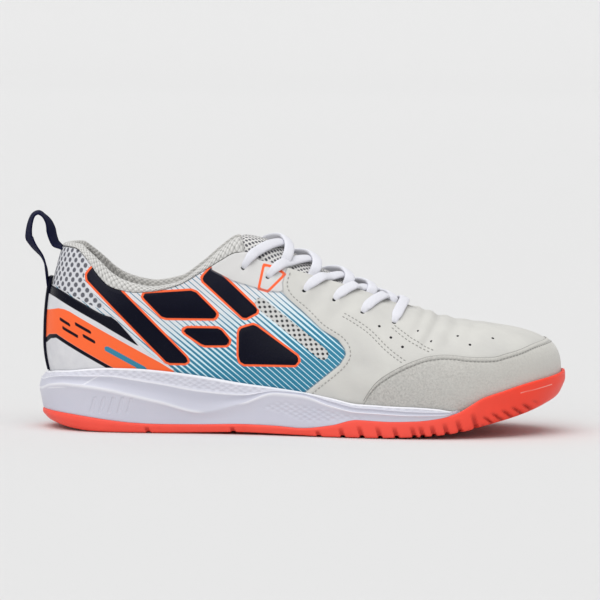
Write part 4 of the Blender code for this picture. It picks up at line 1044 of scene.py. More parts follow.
# Sole
sole = {
    "wrapThick": 0.0013,
    "bumperThick": 0.0020,
    "lugDepth": 0.0014,
    "cutDepth": 0.0013,  # of the notches along the plate's edge, where they run up its side
    "strokeDepth": 0.0009,  # of the slanted cuts at the bumper's foot
    "beadHigh": 0.00040,
    "trough": 0.0007,  # how deep the foam's side sinks between its two lines
    "hollow": 0.0006,  # and under the lower one
    "insoleThick": 0.0035,
    "notches": (0.2140, 0.3740, 0.5350, 0.5800, 0.6160, 0.6500, 0.6810, 0.7140, 0.7300, 0.7510, 0.7750,
                0.8000, 0.8300),  # shares of the length
    "foam": "#D2D2DD",
    "foamShade": "#CBCCD9",
    "foamPaintedShade": "#C3C4D3",
    "foamPaintedHighlight": "#F2F2F7",
    "rubber": "#FB5A4B",
    "rubberToe": "#FF4B37",
    "rubberCloud": "#EE4A3C",
    "rubberGrooveShade": "#A8251F",
    "rubberUnder": "#A92D24",
    "rubberPaintedHighlight": "#FFC3B6",
    "insoleCloth": "#20242E",
    "insoleLight": "#4A505E",
    "barStarts": (29, 34, 39, 44, 49),  # the raised bars on the heel, in millimetres from its back
    "facet": [(5.5, 22.5), (25.4, 25.6), (33.5, 30.4)],
    "lozengePanel": [(119.0, 15.4), (134.0, 19.8), (155.7, 16.4), (178.0, 12.4), (178.0, 8.6), (146.0, 7.4),
                     (130.5, 12.2)],
    # the line on the toe where a highlight is painted
    "toeHighlightLine": [(262.8, 24.6), (280.7, 28.1)],
}


def soleRows(s):
    # heights and outsets of the sole's edges at each section, and shares that turn it into the bumper
    share = s["x"] / shoe["length"]
    rows = {}
    for name in ("red", "ridge", "strip", "rim", "plate"):
        rows[name] = smooth(share, soleHeights["x"], soleHeights[name]) * shoe["heelHeight"]
    for name in ("foot", "red", "ridge", "strip", "rim", "fit"):
        rows["out" + name.title()] = smooth(share, soleOutset["x"], soleOutset[name]) * shoe["length"]
    for name, start, wide in (("tucked", 0.770, 0.018), ("dropped", 0.788, 0.018), ("bumper", 0.806, 0.030)):
        rows[name] = ease((share - start) / wide)
    rows["wrapLow"] = mix(rows["plate"], rows["red"], 0.45)
    return rows


def clearOfUpper(s, height, gap):
    # distance from the centre line to the upper's face at a height, and a gap more
    return wallAt(s, riseAtHeight(s, height)[:, None])[0][:, 0] + gap


def floorRows(s, edge, shares, surface):
    # rows at shares of the way out to an edge, on a surface that gives a height for each x
    return [(edge * share, surface(s["spineX"] + s["wayX"] * edge * share)) for share in shares]


def wrapInside(s, rows, height, gap):
    # inner face of the outsole's side: round the midsole, or round the upper where it is the bumper
    knots = np.stack([rows["plate"], rows["wrapLow"], mix(rows["wrapLow"], rows["red"], 0.5), rows["red"]])
    roundMidsole = s["reach"] + rows["outRed"] - sole["wrapThick"]
    roundUpper = [clearOfUpper(s, knot, rows["outFit"]) for knot in knots]
    faces = mix(roundMidsole, np.stack(roundUpper), rows["bumper"])
    return np.array([np.interp(height[i], knots[:, i], faces[:, i]) for i in range(len(s["turn"]))]) - gap


def eased(v):
    # each row's value drawn to its neighbours' by a 1-2-1 mean, the ends kept
    return np.concatenate([v[:, :1], (v[:, :-2] + 2 * v[:, 1:-1] + v[:, 2:]) / 4, v[:, -1:]], axis=1)


def denseRows(rows, parts, softened=1):
    # rows of distances and heights with straight runs of more rows between them, their corners eased
    places = np.concatenate([k + np.arange(part) / part for k, part in enumerate(parts)] + [[len(parts)]])
    k = np.minimum(places.astype(int), len(parts) - 1)
    found = []
    for n in (0, 1):
        v = np.stack([row[n] for row in rows], axis=1)
        v = mix(v[:, k], v[:, k + 1], places - k)
        for _ in range(softened):
            v = eased(v)
        found.append(v)
    return *found, places


def makeMidsole():
    # the foam cup: the same steps in and out as its solid, on fine rows, with raised beads along two lines
    gap = shoe["gap"]
    s = sectionsAt(ringTurns(300))
    rows = soleRows(s)
    slack = 1.4 * gap + 0.0030 * rows["dropped"]
    foot = wrapInside(s, rows, rows["plate"], slack)
    points = floorRows(s, foot, (0, 0.5), lambda x: plateTop(x) + gap)
    points.append((foot, rows["plate"] + gap))
    top = mix(rows["rim"], s["bed"], rows["dropped"])
    over = rows["red"] - 0.0001
    ridge = np.maximum(rows["ridge"], over + 0.0010)
    strip = np.maximum(rows["strip"], ridge + 0.0006)
    underRim = np.maximum(rows["rim"] - 0.0007, strip + 0.0002)
    lines = (
        (rows["wrapLow"], None), (over, None), (over, rows["outRed"] - 0.0004),
        (ridge, rows["outRidge"]), (strip, rows["outStrip"]), (underRim, rows["outRim"]),
    )
    for number, (height, free) in enumerate(lines):
        inToe = mix(rows["plate"] + gap, s["bed"], 0.25 + 0.14 * number)
        height = mix(height, inToe, rows["dropped"])
        inside = wrapInside(s, rows, height, slack)
        points.append((inside if free is None else mix(s["reach"] + free, inside, rows["tucked"]), height))
    inset = np.where(rows["dropped"] > 0.999, 2.4 * gap, 0)
    rimIn = clearOfUpper(s, top, rows["outFit"]) - inset
    middle = mix(s["bed"], top, 0.5)
    bedEdge = clearOfUpper(s, s["bed"], rows["outFit"]) - 2 * inset
    points.append((mix(points[-1][0], rimIn, 0.5), top))
    points.append((rimIn, top - 0.2 * gap))
    points.append((clearOfUpper(s, middle, rows["outFit"]) - 1.5 * inset, middle - 0.3 * gap))
    points.append((bedEdge, s["bed"] - 0.4 * gap))
    points += floorRows(s, bedEdge, (0.5, 0), bedTop)
    out, high, places = denseRows(points, [2, 2, 1, 2, 3, 14, 16, 12, 3, 3, 2, 2, 3, 3])
    showing = ((1 - rows["tucked"]) * ease((s["x"] - 0.004) / 0.014))[:, None]
    # the ridge dies away at mid foot, where the strip above it begins again
    faded = (ease((s["x"] - 0.086) / 0.008) * (1 - ease((s["x"] - 0.108) / 0.008)))[:, None]
    for line, left in ((6, 1 - faded), (7, 1)):
        out = out + sole["beadHigh"] * np.exp(-(((places - line) / 0.10) ** 2)) * showing * left
    toStrip, toRidge = (strip - ridge) / 0.004, (ridge - over) / 0.006
    hollows = ((6, sole["trough"], 2, toStrip), (5, sole["hollow"], 1, toRidge))
    for line, depth, power, tall in hollows:
        between = (places > line) & (places < line + 1)
        sunk = np.where(between, np.abs(np.sin(np.pi * (places - line))) ** power, 0)
        out = out - depth * sunk * showing * ease(tall)[:, None]
    loops = place(s, out, high)
    faces = gridFaces(*out.shape, True, False)[0]
    x, z = sideView(loops)
    bars = [[(c, 10.5), (c + 2.6, 19.6), (c + 4.4, 19.6), (c + 1.8, 10.5)] for c in sole["barStarts"]]
    values = {"line": np.broadcast_to(places, out.shape), "bars": outlineDistance(x, z, *bars)}
    values["facet"] = lineDistance(x, z, sole["facet"])
    values["panel"] = outlineDistance(x, z, sole["lozengePanel"])
    values["faded"] = np.broadcast_to(faded, out.shape)
    return buildMesh("midsoleFoam", loops, faces, None, values)


def makeOutsole():
    # the rubber plate on fine rows: cuts along its edge, and slanted cuts at the foot of the bumper
    s = sectionsAt(ringTurns(470))
    rows = soleRows(s)
    red, bumper, wrapLow = rows["red"], rows["bumper"], rows["wrapLow"]
    halfway = mix(wrapLow, red, 0.5)
    heights = (red, halfway, wrapLow, rows["plate"])
    topIn, halfIn, lowIn, plateIn = [wrapInside(s, rows, height, 0) for height in heights]
    edge = s["reach"] + rows["outFoot"]
    side = mix(s["reach"] + rows["outRed"], lowIn + sole["bumperThick"] * 1.25, bumper)
    outTop = mix(s["reach"] + rows["outRed"], topIn + sole["bumperThick"], bumper)
    foot = ground(s["spineX"] + s["wayX"] * edge)
    points = floorRows(s, edge, (0, 0.30, 0.35, 0.40, 0.75, 1), ground)
    points[2] = points[2][0], points[2][1] + sole["lugDepth"]
    points += [
        (mix(edge, side, 0.57), mix(foot, red, 0.20)),
        (side, mix(foot, red, 0.66)),
        (outTop, red - 0.0009),
        (mix(outTop, topIn, 0.30), red),
        (topIn + 0.0001, red + 0.0001 - 0.0002 * bumper),
        (halfIn, halfway),
        (lowIn, wrapLow),
        (plateIn, rows["plate"]),
    ]
    points += floorRows(s, plateIn, (0.5, 0), plateTop)
    out, high, places = denseRows(points, [2, 1, 1, 3, 5, 6, 9, 8, 2, 2, 2, 1, 1, 1, 1], 2)
    rounded = np.interp(places, (2.5, 4.0, 7.4, 8.0), (0, 1, 1, 0))
    out, high = [mix(v, eased(eased(eased(eased(v)))), rounded) for v in (out, high)]
    x = (s["spineX"] + s["wayX"] * edge)[:, None] * 1000
    up = (high - foot[:, None]) * 1000
    cut = np.min([np.abs(x + 0.35 * up - share * shoe["length"] * 1000) for share in sole["notches"]], axis=0)
    cut = 1 - ease((cut - 0.7) / 0.8)
    high = high + sole["lugDepth"] * cut * np.interp(places, (3.6, 4.4, 5.2, 5.8), (0, 1, 1, 0))
    rising = np.interp(places, (4.8, 5.3, 6.4, 7.2), (0, 1, 0.75, 0))
    slant = (x + 1.1 * up) / 5.4
    strokes = 1 - ease((np.abs(slant - np.round(slant)) - 0.08) / 0.12)
    strokes = strokes * ease((x - 240) / 4) * (1 - ease((x - 266) / 6))
    strokes = strokes * np.interp(places, (4.9, 5.3, 6.2, 6.5), (0, 1, 1, 0))
    out = out - sole["cutDepth"] * cut * rising - sole["strokeDepth"] * strokes
    loops = place(s, out, high)
    faces = gridFaces(*out.shape, True, False)[0]
    values = {"line": np.broadcast_to(places, out.shape), "groove": np.maximum(cut * rising, strokes)}
    # distance to the line on the toe where a highlight is painted
    values["mark"] = lineDistance(*sideView(loops), sole["toeHighlightLine"])
    return buildMesh("outsoleRubber", loops, faces, None, values)


def makeInsole():
    # a thin pad on the bed, its upper edge rounded
    gap = shoe["gap"]
    s = sectionsAt(ringTurns(160))
    low = s["bed"] + gap
    high = low + sole["insoleThick"]
    reach = offsetWall(s, np.full((len(s["turn"]), 1), -1.0), -shoe["wall"])[0][:, 0] - 1.5 * gap
    points = floorRows(s, reach, (0, 0.5), lambda x: bedTop(x) + 1.5 * gap)
    points += [(reach, low + 0.5 * gap), (reach - 0.0002, high - 0.0008), (reach - 0.0010, high)]
    points += floorRows(s, reach, (0.7, 0.35, 0), lambda x: bedTop(x) + gap + sole["insoleThick"])
    out, heights, _ = denseRows(points, [2, 2, 2, 2, 4, 4, 4])
    return buildMesh("insoleCloth", place(s, out, heights), gridFaces(*out.shape, True, False)[0])


def mouldedFoam():
    # compression-moulded EVA: smooth closed skin, a faint satin gloss, pressed lozenges in the upper strip
    fixed = {"Roughness": 0.42, "IOR": 1.48}
    material, tree, spot, line, faded, facet, panel, bars = newMaterial(
        "compressionMouldedEva", "spot line faded facet panel bars", fixed)
    x = addNode(tree, "SeparateXYZ", [spot])
    # painted shade: darker in the lower rows up to the ridge line, and at half strength in the trough above
    # it
    low = addNode(tree, "MapRange", [line, 4.9, 6.1, 0.75, 0])
    # painted highlights: light lines along the ridge, the upper line, the facet line and the rim band
    paintedHighlightLines = [within(tree, line, 6.05, 0.05, 5.93), within(tree, faded, 0.5, 0.45)]
    paintedHighlightLines = addNode(tree, "Math", paintedHighlightLines, operation="MULTIPLY")
    upperLine, rim = within(tree, line, 7.04, 0.04, 6.96), within(tree, line, 9.0, 0.1, 7.9)
    for more in (upperLine, within(tree, facet, 0.25, 0.35), rim):
        paintedHighlightLines = addNode(tree, "Math", [paintedHighlightLines, more], operation="MAXIMUM")
    tone = paint(tree, sole["foam"],
                 (sole["foamShade"], cloudy(tree, spot, 16, 2, 0.4, 0.75, 0.6)),
                 (sole["foamPaintedShade"], low),
                 (sole["foamPaintedShade"], within(tree, line, 6.9, 0.12, 6.08), 0.55),
                 (sole["foamPaintedHighlight"], paintedHighlightLines, 0.8))
    flat = addNode(tree, "CombineXYZ", [x, x.node.outputs[2]])
    lozenge = staggered(tree, flat, 0.0050, 0.0026)
    fine = cloudy(tree, spot, 0.6, 2, share=0.10)
    onStrip, onPanel = within(tree, line, 7.86, 0.05, 7.12), within(tree, panel, -1.0, 1.0)
    relief = paint(tree, fine, (lozenge, onStrip), (lozenge, onPanel))
    raised = [within(tree, bars, 0, 0.25), 0.5, relief]
    relief = addNode(tree, "Math", raised, operation="MULTIPLY_ADD")
    return finishMaterial(material, tone, (relief, 0.0006, 0.7))


def mouldedRubber():
    # injection-moulded solid rubber, non-marking: dense colour, satin, staggered lugs under the foot
    fixed = {"Roughness": 0.42, "IOR": 1.5, "Specular IOR Level": 0.22}
    material, tree, spot, line, groove, mark = newMaterial(
        "mouldedNonMarkingRubber", "spot line groove mark", fixed)
    toe = addNode(tree, "MapRange", [addNode(tree, "SeparateXYZ", [spot]), 0.07, 0.12])
    under = within(tree, line, 4.9, 0.05)
    lug = addNode(tree, "MapRange", [staggered(tree, spot, 0.0075, 0.0130), 0.30, 0.42, 1, 0])
    tone = paint(tree, sole["rubber"],
                 (sole["rubberToe"], toe),
                 (sole["rubberCloud"], cloudy(tree, spot, 12, 2, 0.45, 0.8, 0.35)),
                 (sole["rubberUnder"], under, addNode(tree, "MapRange", [lug, 0, 1, 0.55, 0])),
                 # painted shade in the cuts along the edge and in the slanted cuts at the toe
                 (sole["rubberGrooveShade"], groove, 0.85),
                 # a painted highlight along the line on the toe
                 (sole["rubberPaintedHighlight"], within(tree, mark, 0.28, 0.12), 0.7))
    relief = paint(tree, cloudy(tree, spot, 0.5, 2, share=0.06), (lug, under))
    return finishMaterial(material, tone, (relief, 0.0009, 0.8))


def insoleFabric():
    # knitted sockliner cloth bonded to foam: matt with a small loop texture
    material, tree, spot = newMaterial("bondedSocklinerCloth", "spot", {"Roughness": 0.95})
    loops = staggered(tree, spot, 0.0016, 0.0022)
    tone = paint(tree, sole["insoleCloth"], (sole["insoleLight"], loops))
    return finishMaterial(material, tone, (loops, 0.0003, 0.7))


finishPiece(makeMidsole(), mouldedFoam(), "midsole", 50)
finishPiece(makeOutsole(), mouldedRubber(), "outsole", 50)
finishPiece(makeInsole(), insoleFabric(), "insole")
print("sole made")


# Collar and tongue
soft = {
    "collarFront": 0.39,  # share of the length where the roll ends and the tongue's top lies
    "tongueFront": 0.742,
    "cuffDepth": 0.013,
    "cuffThick": 0.0052,
    "tongueThick": 0.0045,
    "tongueDrop": 0.0032,
    "tongueTop": 0.1073,
    "knit": "#DAD9D6",
    "knitShade": "#8F8E8B",
    "knitInside": "#B4B2AD",
    "knitCloud": "#E6E5E2",
    "tongueMesh": "#DEDDDB",
    "tongueHole": "#515057",
}
cuffSection = readTable("""
share  up      inward
0     -1.000   0.320
0     -0.500   0.320
0     -0.023   0.320
0      0.030   0.120
0      0.075  -0.020
0.45   0.000  -0.050
0.8    0.000   0.060
1     -0.015   0.210
1      0.000   0.392
1     -0.060   0.600
1     -0.190   0.800
0     -0.077   1.000
0     -0.350   0.980
0     -0.650   0.864
0     -1.000   0.477
""")


def quarterRound(share, least=0):
    # the height of a quarter circle: from the least at 0 to 1 at 1
    return np.sqrt(np.clip(1 - (1 - np.clip(share, 0, 1)) ** 2, least, 1))


def makeCuff():
    # the padded roll round the top line: its section is a closed loop of spots, rounded by a periodic spline
    end = turnAtSpine(soft["collarFront"] * shoe["length"])
    s = sectionsAt(heelTurns(end - 0.0008, 170))
    edge = wallAt(s, topRise(s)[:, None])[1][:, 0]
    peak = wallAt(s, riseUnder(s, cuffEdge)[:, None])[1][:, 0]
    peak = np.maximum(peak, edge + 0.0022)
    deepest = shoe["wall"] + 1.5 * shoe["gap"] + soft["cuffThick"]
    out, high = [], []
    for share, up, inward in zip(cuffSection["share"], cuffSection["up"], cuffSection["inward"]):
        high.append(mix(edge, peak, share) + up * soft["cuffDepth"])
        out.append(clearOfUpper(s, high[-1], -inward * deepest))
    spots = len(out)
    at = np.linspace(0, spots, 64, endpoint=False)
    k, t = at.astype(int), at % 1
    loops = []
    for v in (out, high):
        before, here, after, later = [np.stack(v, axis=1)[:, (k + step) % spots] for step in (-1, 0, 1, 2)]
        loops.append(hermite(t, here, after, (after - before) / 2, (later - here) / 2))
    # towards both ends the pad sinks in a quarter round to just under the top edge
    number = np.arange(len(s["turn"]))
    fromEnd = np.minimum(number, number[::-1]) * halfOutline * end / 169
    left = quarterRound(fromEnd / 0.0045, 0.02)[:, None]
    low, core = (edge - 0.0030)[:, None], clearOfUpper(s, edge - 0.0030, -0.0042)[:, None]
    out = core + (loops[0] - core) * (0.45 + 0.55 * left)
    high = low + (loops[1] - low) * np.where(loops[1] > low, left, 1)
    points = place(s, out, high)
    uv = surfaceMap(lengthAlong(points[:, 20]), lengthAlong(points, 1).mean(axis=0))
    values = {"inward": np.broadcast_to(at, out.shape)}
    return buildMesh("collarKnit", points, tubeFaces(*out.shape), uv, values)


def makeTongue():
    # the padded sheet under the lacing: thin at its sides, full in the middle, bent over at its top
    first, last = [turnAtSpine(soft[name] * shoe["length"]) for name in ("collarFront", "tongueFront")]
    half = np.linspace(first + 0.0010, last, 130)
    way = np.linspace(0, 1, 22)
    padding = soft["tongueThick"] * (0.42 + 0.58 * quarterRound(way / 0.55))
    over, under = [], []
    for turns in (half, 2 - half):
        s = sectionsAt(turns)
        width = tongueHalf(s["spineX"])[:, None]
        rise = mix(riseWhere(s, lambda out, high: width - out, 0)[:, None], 1, way)
        for faces, deep, limit in ((over, 0, 0), (under, padding, soft["tongueThick"])):
            out, high = offsetWall(s, rise, -soft["tongueDrop"] - deep)
            limit = soft["tongueTop"] - limit
            faces.append(place(s, out, limit - 0.0035 * np.logaddexp(0, (limit - high) / 0.0035)))
    over, under = [np.concatenate([a, b[:, -2::-1]], axis=1) for a, b in (over, under)]
    # the top edge is rounded: four more rows that go back by a sine while the thickness falls by a cosine
    middle, half = (over[0] + under[0]) / 2, (over[0] - under[0]) / 2
    back = unit(middle - (over[3] + under[3]) / 2) * 0.0026
    bend = np.radians([86, 65, 43, 21])[:, None, None]
    over = np.concatenate([middle + back * np.sin(bend) + half * np.cos(bend), over])
    under = np.concatenate([middle + back * np.sin(bend) - half * np.cos(bend), under])[:, ::-1]
    side = 0.5 * (over[:, [-1]] + under[:, [0]]) + 0.35 * (over[:, [-1]] - over[:, [-2]])
    otherSide = 0.5 * (over[:, [0]] + under[:, [-1]]) + 0.35 * (over[:, [0]] - over[:, [1]])
    points = np.concatenate([otherSide, over, side, under], axis=1)
    uv = surfaceMap(lengthAlong(points[:, over.shape[1] // 2]), lengthAlong(points, 1).mean(axis=0))
    return buildMesh("tonguePad", points, tubeFaces(*points.shape[:2]), uv)


def collarKnitCloth():
    # flat-knitted polyester over foam: matt, small raised loops with darker gaps between them
    fixed = {"Roughness": 0.92, "IOR": 1.45, "Sheen Weight": 0.3}
    material, tree, uv, inward = newMaterial("flatKnittedPolyester", "uv inward", fixed)
    loops = staggered(tree, uv, 0.0031, 0.0026)
    tone = paint(tree, soft["knit"],
                 (soft["knitInside"], addNode(tree, "MapRange", [inward, 7.5, 9.5])),
                 (soft["knitShade"], within(tree, loops, 0.9, 0.14, 0.47), 0.85),
                 (soft["knitCloud"], cloudy(tree, uv, 3, 3, 0.4, 0.7, 0.35)))
    raised = addNode(tree, "Math", [loops, -1.0], operation="MULTIPLY")
    return finishMaterial(material, tone, (raised, 0.0010, 0.9))


def tongueCloth():
    # open warp-knit mesh over dark foam: light threads, dark staggered holes
    material, tree, uv = newMaterial("openWarpKnitMesh", "uv", {"Roughness": 0.9, "IOR": 1.45})
    holes = staggered(tree, uv, 0.0036, 0.0026)
    tone = paint(tree, soft["tongueMesh"], (soft["tongueHole"], within(tree, holes, 0.34, 0.08)))
    return finishMaterial(material, tone, (holes, 0.0008, 0.9))


cuff = finishPiece(makeCuff(), collarKnitCloth(), "collar_cuff")
tongue = finishPiece(makeTongue(), tongueCloth(), "tongue")
print("collar and tongue made")


# Laces and pull loop
lacing = {
    "width": 0.0058,
    "thick": 0.0023,
    "runs": (0.0175, 0.0200, 0.0200, 0.0175, 0.0150),  # how far forward the strands end, top pair first
    "bows": (0.0130, 0.0130, 0.0108, 0.0088, 0.0058),  # how far forward they bend
    "barBow": 0.0055,
    "arch": 0.0010,
    "overWall": 0.0004,  # between a strand and the upper it lies on
    "thread": "#EAEAF0",
    "threadShade": "#C6C8D4",
    "loopWidth": 0.0105,
    "loopThick": 0.0012,
    "webbing": "#10153A",
    "webbingShade": "#090B20",
}


def strapMesh(middle, across, up, width, thick, around=20, square=2.6):
    # a flat oval carried along a path: a superellipse of the strap's width and thickness, its ends closed
    angle = np.linspace(0, 2 * np.pi, around, endpoint=False)
    c, d = np.cos(angle), np.sin(angle)
    wide, tall = [np.sign(v) * np.abs(v) ** (2 / square) * size / 2 for v, size in ((c, width), (d, thick))]
    points = middle[:, None] + across[:, None] * wide[:, None] + up[:, None] * tall[:, None]
    uv = surfaceMap(lengthAlong(middle), wide + np.where(d < 0, 2 * width, 0))
    return points, tubeFaces(len(middle), around), uv


def joinShapes(name, shapes):
    # several grids in one mesh
    start, faces = 0, []
    for points, corners, _ in shapes:
        faces += [[corner + start for corner in face] for face in corners]
        start += points[..., 0].size
    points, uv = [np.concatenate([shape[n].reshape(-1, 3 - n // 2) for shape in shapes]) for n in (0, 2)]
    return buildMesh(name, points, faces, uv, weld=1e-8)


def laceStrand(start, end, normal, side, onTop, bow, straight=False):
    # middle line of one lace: up out of its hole, over the wall, across the throat, and under the other edge
    share = np.linspace(0, 1, 56)
    reach = end[:2] if straight else end[:2] + (end[:2] - start[:2]) * 0.13
    plan = mix(start[None, :2], reach[None, :2], share[:, None])
    plan[:, 0] += bow * np.sin(np.pi * share)
    middle, away = np.zeros((56, 3)), np.zeros((56, 3))
    thick = lacing["thick"]
    overWall = thick / 2 + lacing["overWall"]
    inThroat = 0.0005 if onTop else -0.0018
    for here in (-1, 1):
        mine = (plan[:, 1] - spineY(plan[:, 0])) * here >= 0
        if not mine.any():
            continue
        turn, rise = onForm(plan[mine, 0], plan[mine, 1], here, [0, 1])
        away[mine] = formNormals(turn, rise, here)
        s = sectionsAt(turn if here < 0 else 2 - turn)
        past = (wallAt(s, rise[:, None])[0] - wallAt(s, topRise(s)[:, None])[0])[:, 0]
        if straight:
            lift = np.full(len(past), overWall)
        elif here == side:
            lift = mix(inThroat, overWall, ease((past + 0.0045) / 0.0055))
        else:
            lift = mix(inThroat, -shoe["wall"] - thick * 0.62, ease((past + 0.0060) / 0.0050))
        lift = lift + lacing["arch"] * np.sin(np.pi * share[mine]) ** 2
        middle[mine] = formPoints(turn, rise, here) + away[mine] * lift[:, None]
    # at a hole the lace dives in and narrows
    away = unit(away)
    middle = middle - normal * ease(1 - share / 0.035)[:, None] * 0.0030
    narrow = 1 - 0.42 * ease(1 - share / 0.09)
    if straight:
        middle = middle - away * ease(1 - (1 - share) / 0.035)[:, None] * 0.0030
        narrow = narrow - 0.42 * ease(1 - (1 - share) / 0.09)
    run = unit(np.gradient(middle, axis=0))
    across = unit(np.cross(run, away))
    return middle, across * narrow[:, None], unit(np.cross(across, run))


def makeLaces(woven):
    # crossing pairs from hole to throat edge, and the bar between the two front holes
    size = lacing["width"], lacing["thick"]
    last = len(holeTable["x"]) - 1
    for i in range(last):
        shapes = []
        for side, (starts, normals) in laceHoles.items():
            farX = starts[i][0] + lacing["runs"][i]
            end = np.array([farX, spineY(farX) - side * (throatHalf(farX) - 0.0010)])
            strand = laceStrand(starts[i], end, normals[i], side, side > 0, lacing["bows"][i])
            shapes.append(strapMesh(*strand, *size))
        finishPiece(joinShapes(f"lacePair{i + 1}", shapes), woven, f"lace_cross_{i + 1}")
    (starts, normals), (ends, _) = laceHoles[-1], laceHoles[1]
    strand = laceStrand(starts[last], ends[last], normals[last], -1, True, lacing["barBow"], True)
    finishPiece(joinShapes("laceFront", [strapMesh(*strand, *size)]), woven, "lace_bar")


def wovenLace():
    # flat-woven polyester lace: white and matt, its staggered threads drawn coarser than real ones to show
    fixed = {"Roughness": 0.82, "IOR": 1.5, "Sheen Weight": 0.2}
    material, tree, uv = newMaterial("flatWovenPolyesterLace", "uv", fixed)
    threads = staggered(tree, uv, 0.0013, 0.0010)
    tone = paint(tree, lacing["thread"], (lacing["threadShade"], threads, 0.6))
    return finishMaterial(material, tone, (threads, 0.00025, 0.8))


def makeLoop():
    # the webbing loop carried along its path, its edges slightly rounded
    spots = np.stack([loopTable["x"], loopTable["z"]], axis=1)
    spots = np.concatenate([[(0.0500, 0.700), (0.0440, 0.755)], spots, [(0.1080, 0.978), (0.1300, 0.958)]])
    knots, at = np.linspace(0, 1, len(spots)), np.linspace(0, 1, 150)
    x, z = [roundCurve(at, knots, spots[:, n]) * shoe["heelHeight"] for n in (0, 1)]
    middle = np.stack([x, 0 * x, z], axis=1)
    run = unit(np.gradient(middle, axis=0))
    twist = np.interp(at, (0, 0.15, 0.32, 0.50, 0.62, 0.76, 0.90, 1), (0, 0, 26, 10, 5, 24, 18, 0))
    twist = np.radians(twist)[:, None]
    side = np.array([[0.0, 1.0, 0.0]])
    across = np.cos(twist) * side + np.sin(twist) * np.cross(run, side)
    size = lacing["loopWidth"], lacing["loopThick"]
    return joinShapes("pullLoopWebbing", [strapMesh(middle, across, np.cross(run, across), *size, 24, 5)])


def wovenWebbing():
    # woven nylon webbing: dark, matt, ribs across the strap
    fixed = {"Roughness": 0.7, "IOR": 1.5, "Specular IOR Level": 0.08}
    material, tree, uv = newMaterial("wovenNylonWebbing", "uv", fixed)
    ribs = staggered(tree, uv, 0.0011, 0.0016)
    tone = paint(tree, lacing["webbing"], (lacing["webbingShade"], ribs))
    return finishMaterial(material, tone, (ribs, 0.0003, 0.8))


makeLaces(wovenLace())
finishPiece(makeLoop(), wovenWebbing(), "pull_loop")
print("laces and pull loop made")


# Stitches and punched holes
stitching = {
    "thread": "#BDBCB8",
    "capThread": "#9A9995",
    "threadShade": "#83827E",
    "hole": "#1B1A1C",
    "holeShade": "#2A292C",
    "radius": 0.00032,
    "length": 0.0014,
    "pitch": 2.2,  # millimetres from stitch to stitch
    "punch": 0.00078,  # radius of a punched hole
    "belowCap": 0.0024,
}


def onSurface(x, z, side, lift):
    # points and axes on the upper's surface where the side view shows x and z in millimetres
    turn, rise = onForm(x / 1000, z / 1000, side, [0, 2])
    here, away = formPoints(turn, rise, side), formNormals(turn, rise, side)
    return here + away * ((reliefOf(x, z) + lift) / 1000)[:, None], away


def smallShapes(name, centres, along, away, shape, faces, material):
    # one small shape set on many places: its own axes are turned to the run and the surface there
    across = unit(np.cross(away, along))
    axes = np.stack([unit(np.cross(across, away)), across, away], axis=1)
    starts = range(0, len(centres) * len(shape), len(shape))
    every = [[corner + start for corner in face] for start in starts for face in faces]
    return finishPiece(buildMesh(name, centres[:, None] + shape @ axes, every, weld=1e-9), material)


def stitchShape():
    # a short capsule: rings of six along its length, drawn in at its ends
    rings = np.array([-1, -0.8, 0, 0.8, 1])
    girth = np.array([0.25, 0.85, 1, 0.85, 0.25])[:, None] * stitching["radius"]
    angle = np.arange(6) * np.pi / 3
    x = np.repeat(rings * stitching["length"] / 2, 6)
    y, z = (girth * np.cos(angle)).ravel(), (girth * np.sin(angle)).ravel()
    return np.stack([x, y, z], axis=1), tubeFaces(5, 6)


def mottled(name, base, shade, size, detail, rough):
    # bonded polyester thread, slightly glossy and darker than the leather, or the matt dark of a punched hole
    material, tree, spot = newMaterial(name, "spot", {"Roughness": rough})
    return finishMaterial(material, paint(tree, base, (shade, cloudy(tree, spot, size, detail))))


def makeStitches():
    # stitches at even steps along each run, and punched holes, on both sides
    stitch = stitchShape()
    thread = mottled("bondedStitchThread", stitching["thread"], stitching["threadShade"], 0.4, 2, 0.6)
    capThread = mottled("bondedCapThread", stitching["capThread"], stitching["threadShade"], 0.4, 2, 0.6)
    darkHole = mottled("punchedHoleShadow", stitching["hole"], stitching["holeShade"], 0.5, 1, 1.0)
    angle = np.arange(12) * np.pi / 6
    ring = np.stack([np.cos(angle), np.sin(angle), 0 * angle], axis=1) * stitching["punch"]
    disc = np.concatenate([ring - [0, 0, 0.0002], ring])
    for side, word in ((-1, "Outer"), (1, "Inner")):
        for name, spots in stitchRuns.items():
            centres, away = onSurface(*smoothLine(spots, stitching["pitch"]).T, side, 0.10)
            smallShapes(name + word, centres, np.gradient(centres, axis=0), away, *stitch, thread)
        # punched vents: dark discs just above the leather
        centres, away = onSurface(*np.array(punchSpots).T, side, 0.05)
        along = np.tile([1.0, 0, 0], (len(centres), 1))
        smallShapes("punchedVents" + word, centres, along, away, disc, tubeFaces(2, 12), darkHole)
    # stitches along the toe cap, a fixed way below its edge
    s = sectionsAt(toeTurns(turnAtOutline(overlays["capStart"] * shoe["length"]) + 0.012, 400))
    rise = riseUnder(s, lambda x: capLine(x) - stitching["belowCap"])[:, None]
    base, top = [place(s, *offsetWall(s, rise, lift))[:, 0] for lift in (0, 0.00142)]
    run = lengthAlong(top)
    at = np.arange(0, run[-1], stitching["pitch"] / 1000)
    centres = np.stack([np.interp(at, run, v) for v in top.T], axis=1)
    away = np.stack([np.interp(at, run, v) for v in (top - base).T], axis=1)
    smallShapes("capStitches", centres, np.gradient(centres, axis=0), unit(away), *stitch, capThread)


makeStitches()
print("stitches made")


# Floor, light and camera
studio = {
    "floor": "#DBDBDB",
    "air": 0.50,
    "overhead": 1.72,
    "front": 0.60,
    "elevation": 4.0,
    "distance": 2.2,
    "lens": 240.2,
    "roll": 0.0126763,
    "target": (0.001541, -0.000497, 0.071018),
}


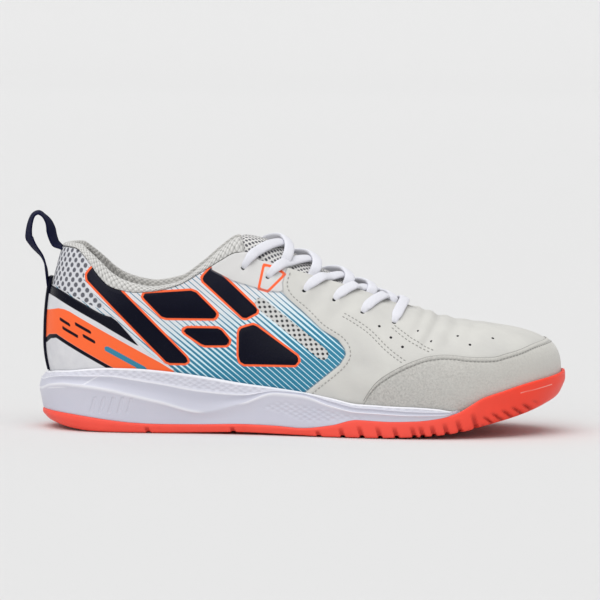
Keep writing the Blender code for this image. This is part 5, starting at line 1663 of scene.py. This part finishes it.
def makeStage():
    # one sheet: a long floor, a wide bend and a wall, y over z
    bend = np.linspace(0, np.pi / 2, 20)
    y = np.concatenate([[-6, -1.5, 0.5, 2.0, 8.0], 12 + 6 * np.sin(bend), [18, 18]])
    z = np.concatenate([[0, 0, 0, 0, 0], 6 - 6 * np.cos(bend), [10, 30]])
    x = np.array([-30, -3, 0, 3, 30.0])[:, None]
    points = np.stack(np.broadcast_arrays(x, y, z), axis=-1) - np.array(shoe["moveToFrame"])
    sheet = buildMesh("paperSweep", points, gridFaces(5, len(y), False, False)[0])
    # unprinted paper, matt: an even pale grey without a highlight
    fixed = {"Roughness": 1.0, "Base Color": colour(studio["floor"]), "Specular IOR Level": 0.0}
    sheet.data.materials.append(newMaterial("mattPaperSweep", "", fixed)[0])


def addSun(name, towards, power, wide):
    # a far soft light; towards points from the shoe to the light, wide is its angle in degrees
    lamp = bpy.data.lights.new(name, "SUN")
    lamp.energy, lamp.angle = power, np.radians(wide)
    thing = bpy.data.objects.new(name, lamp)
    bpy.context.scene.collection.objects.link(thing)
    back = unit(np.array(towards, float))
    thing.rotation_euler = (float(np.arccos(back[2])), 0, float(np.arctan2(back[1], back[0]) + np.pi / 2))


makeStage()
addSun("overheadPanel", (-0.12, -0.25, 1.0), studio["overhead"], 65)
addSun("frontPanel", (-0.45, -1.0, 0.55), studio["front"], 45)
world = bpy.data.worlds.new("studioAir")
bpy.context.scene.world = world
world.use_nodes = True
air = next(node for node in world.node_tree.nodes if node.type == "BACKGROUND")
air.inputs[0].default_value = (1, 1, 1, 1)
air.inputs[1].default_value = studio["air"]
bpy.context.scene.view_settings.view_transform = "Standard"

tilt, roll = np.radians(studio["elevation"]), studio["roll"]
back = np.array([0, -np.cos(tilt), np.sin(tilt)])
upWay = np.array([0, np.sin(tilt), np.cos(tilt)])
turned = np.eye(4)
turned[:3, 0] = np.array([np.cos(roll), 0, 0]) + np.sin(roll) * upWay
turned[:3, 1] = np.array([-np.sin(roll), 0, 0]) + np.cos(roll) * upWay
turned[:3, 2] = back
turned[:3, 3] = np.array(studio["target"]) + back * studio["distance"]
lens = bpy.data.cameras.new("photoCamera")
lens.lens, lens.sensor_width = studio["lens"], 36
lens.clip_start, lens.clip_end = 0.1, 50
camera = bpy.data.objects.new("photoCamera", lens)
bpy.context.scene.collection.objects.link(camera)
camera.matrix_world = mathutils.Matrix(turned.tolist())
bpy.context.scene.camera = camera
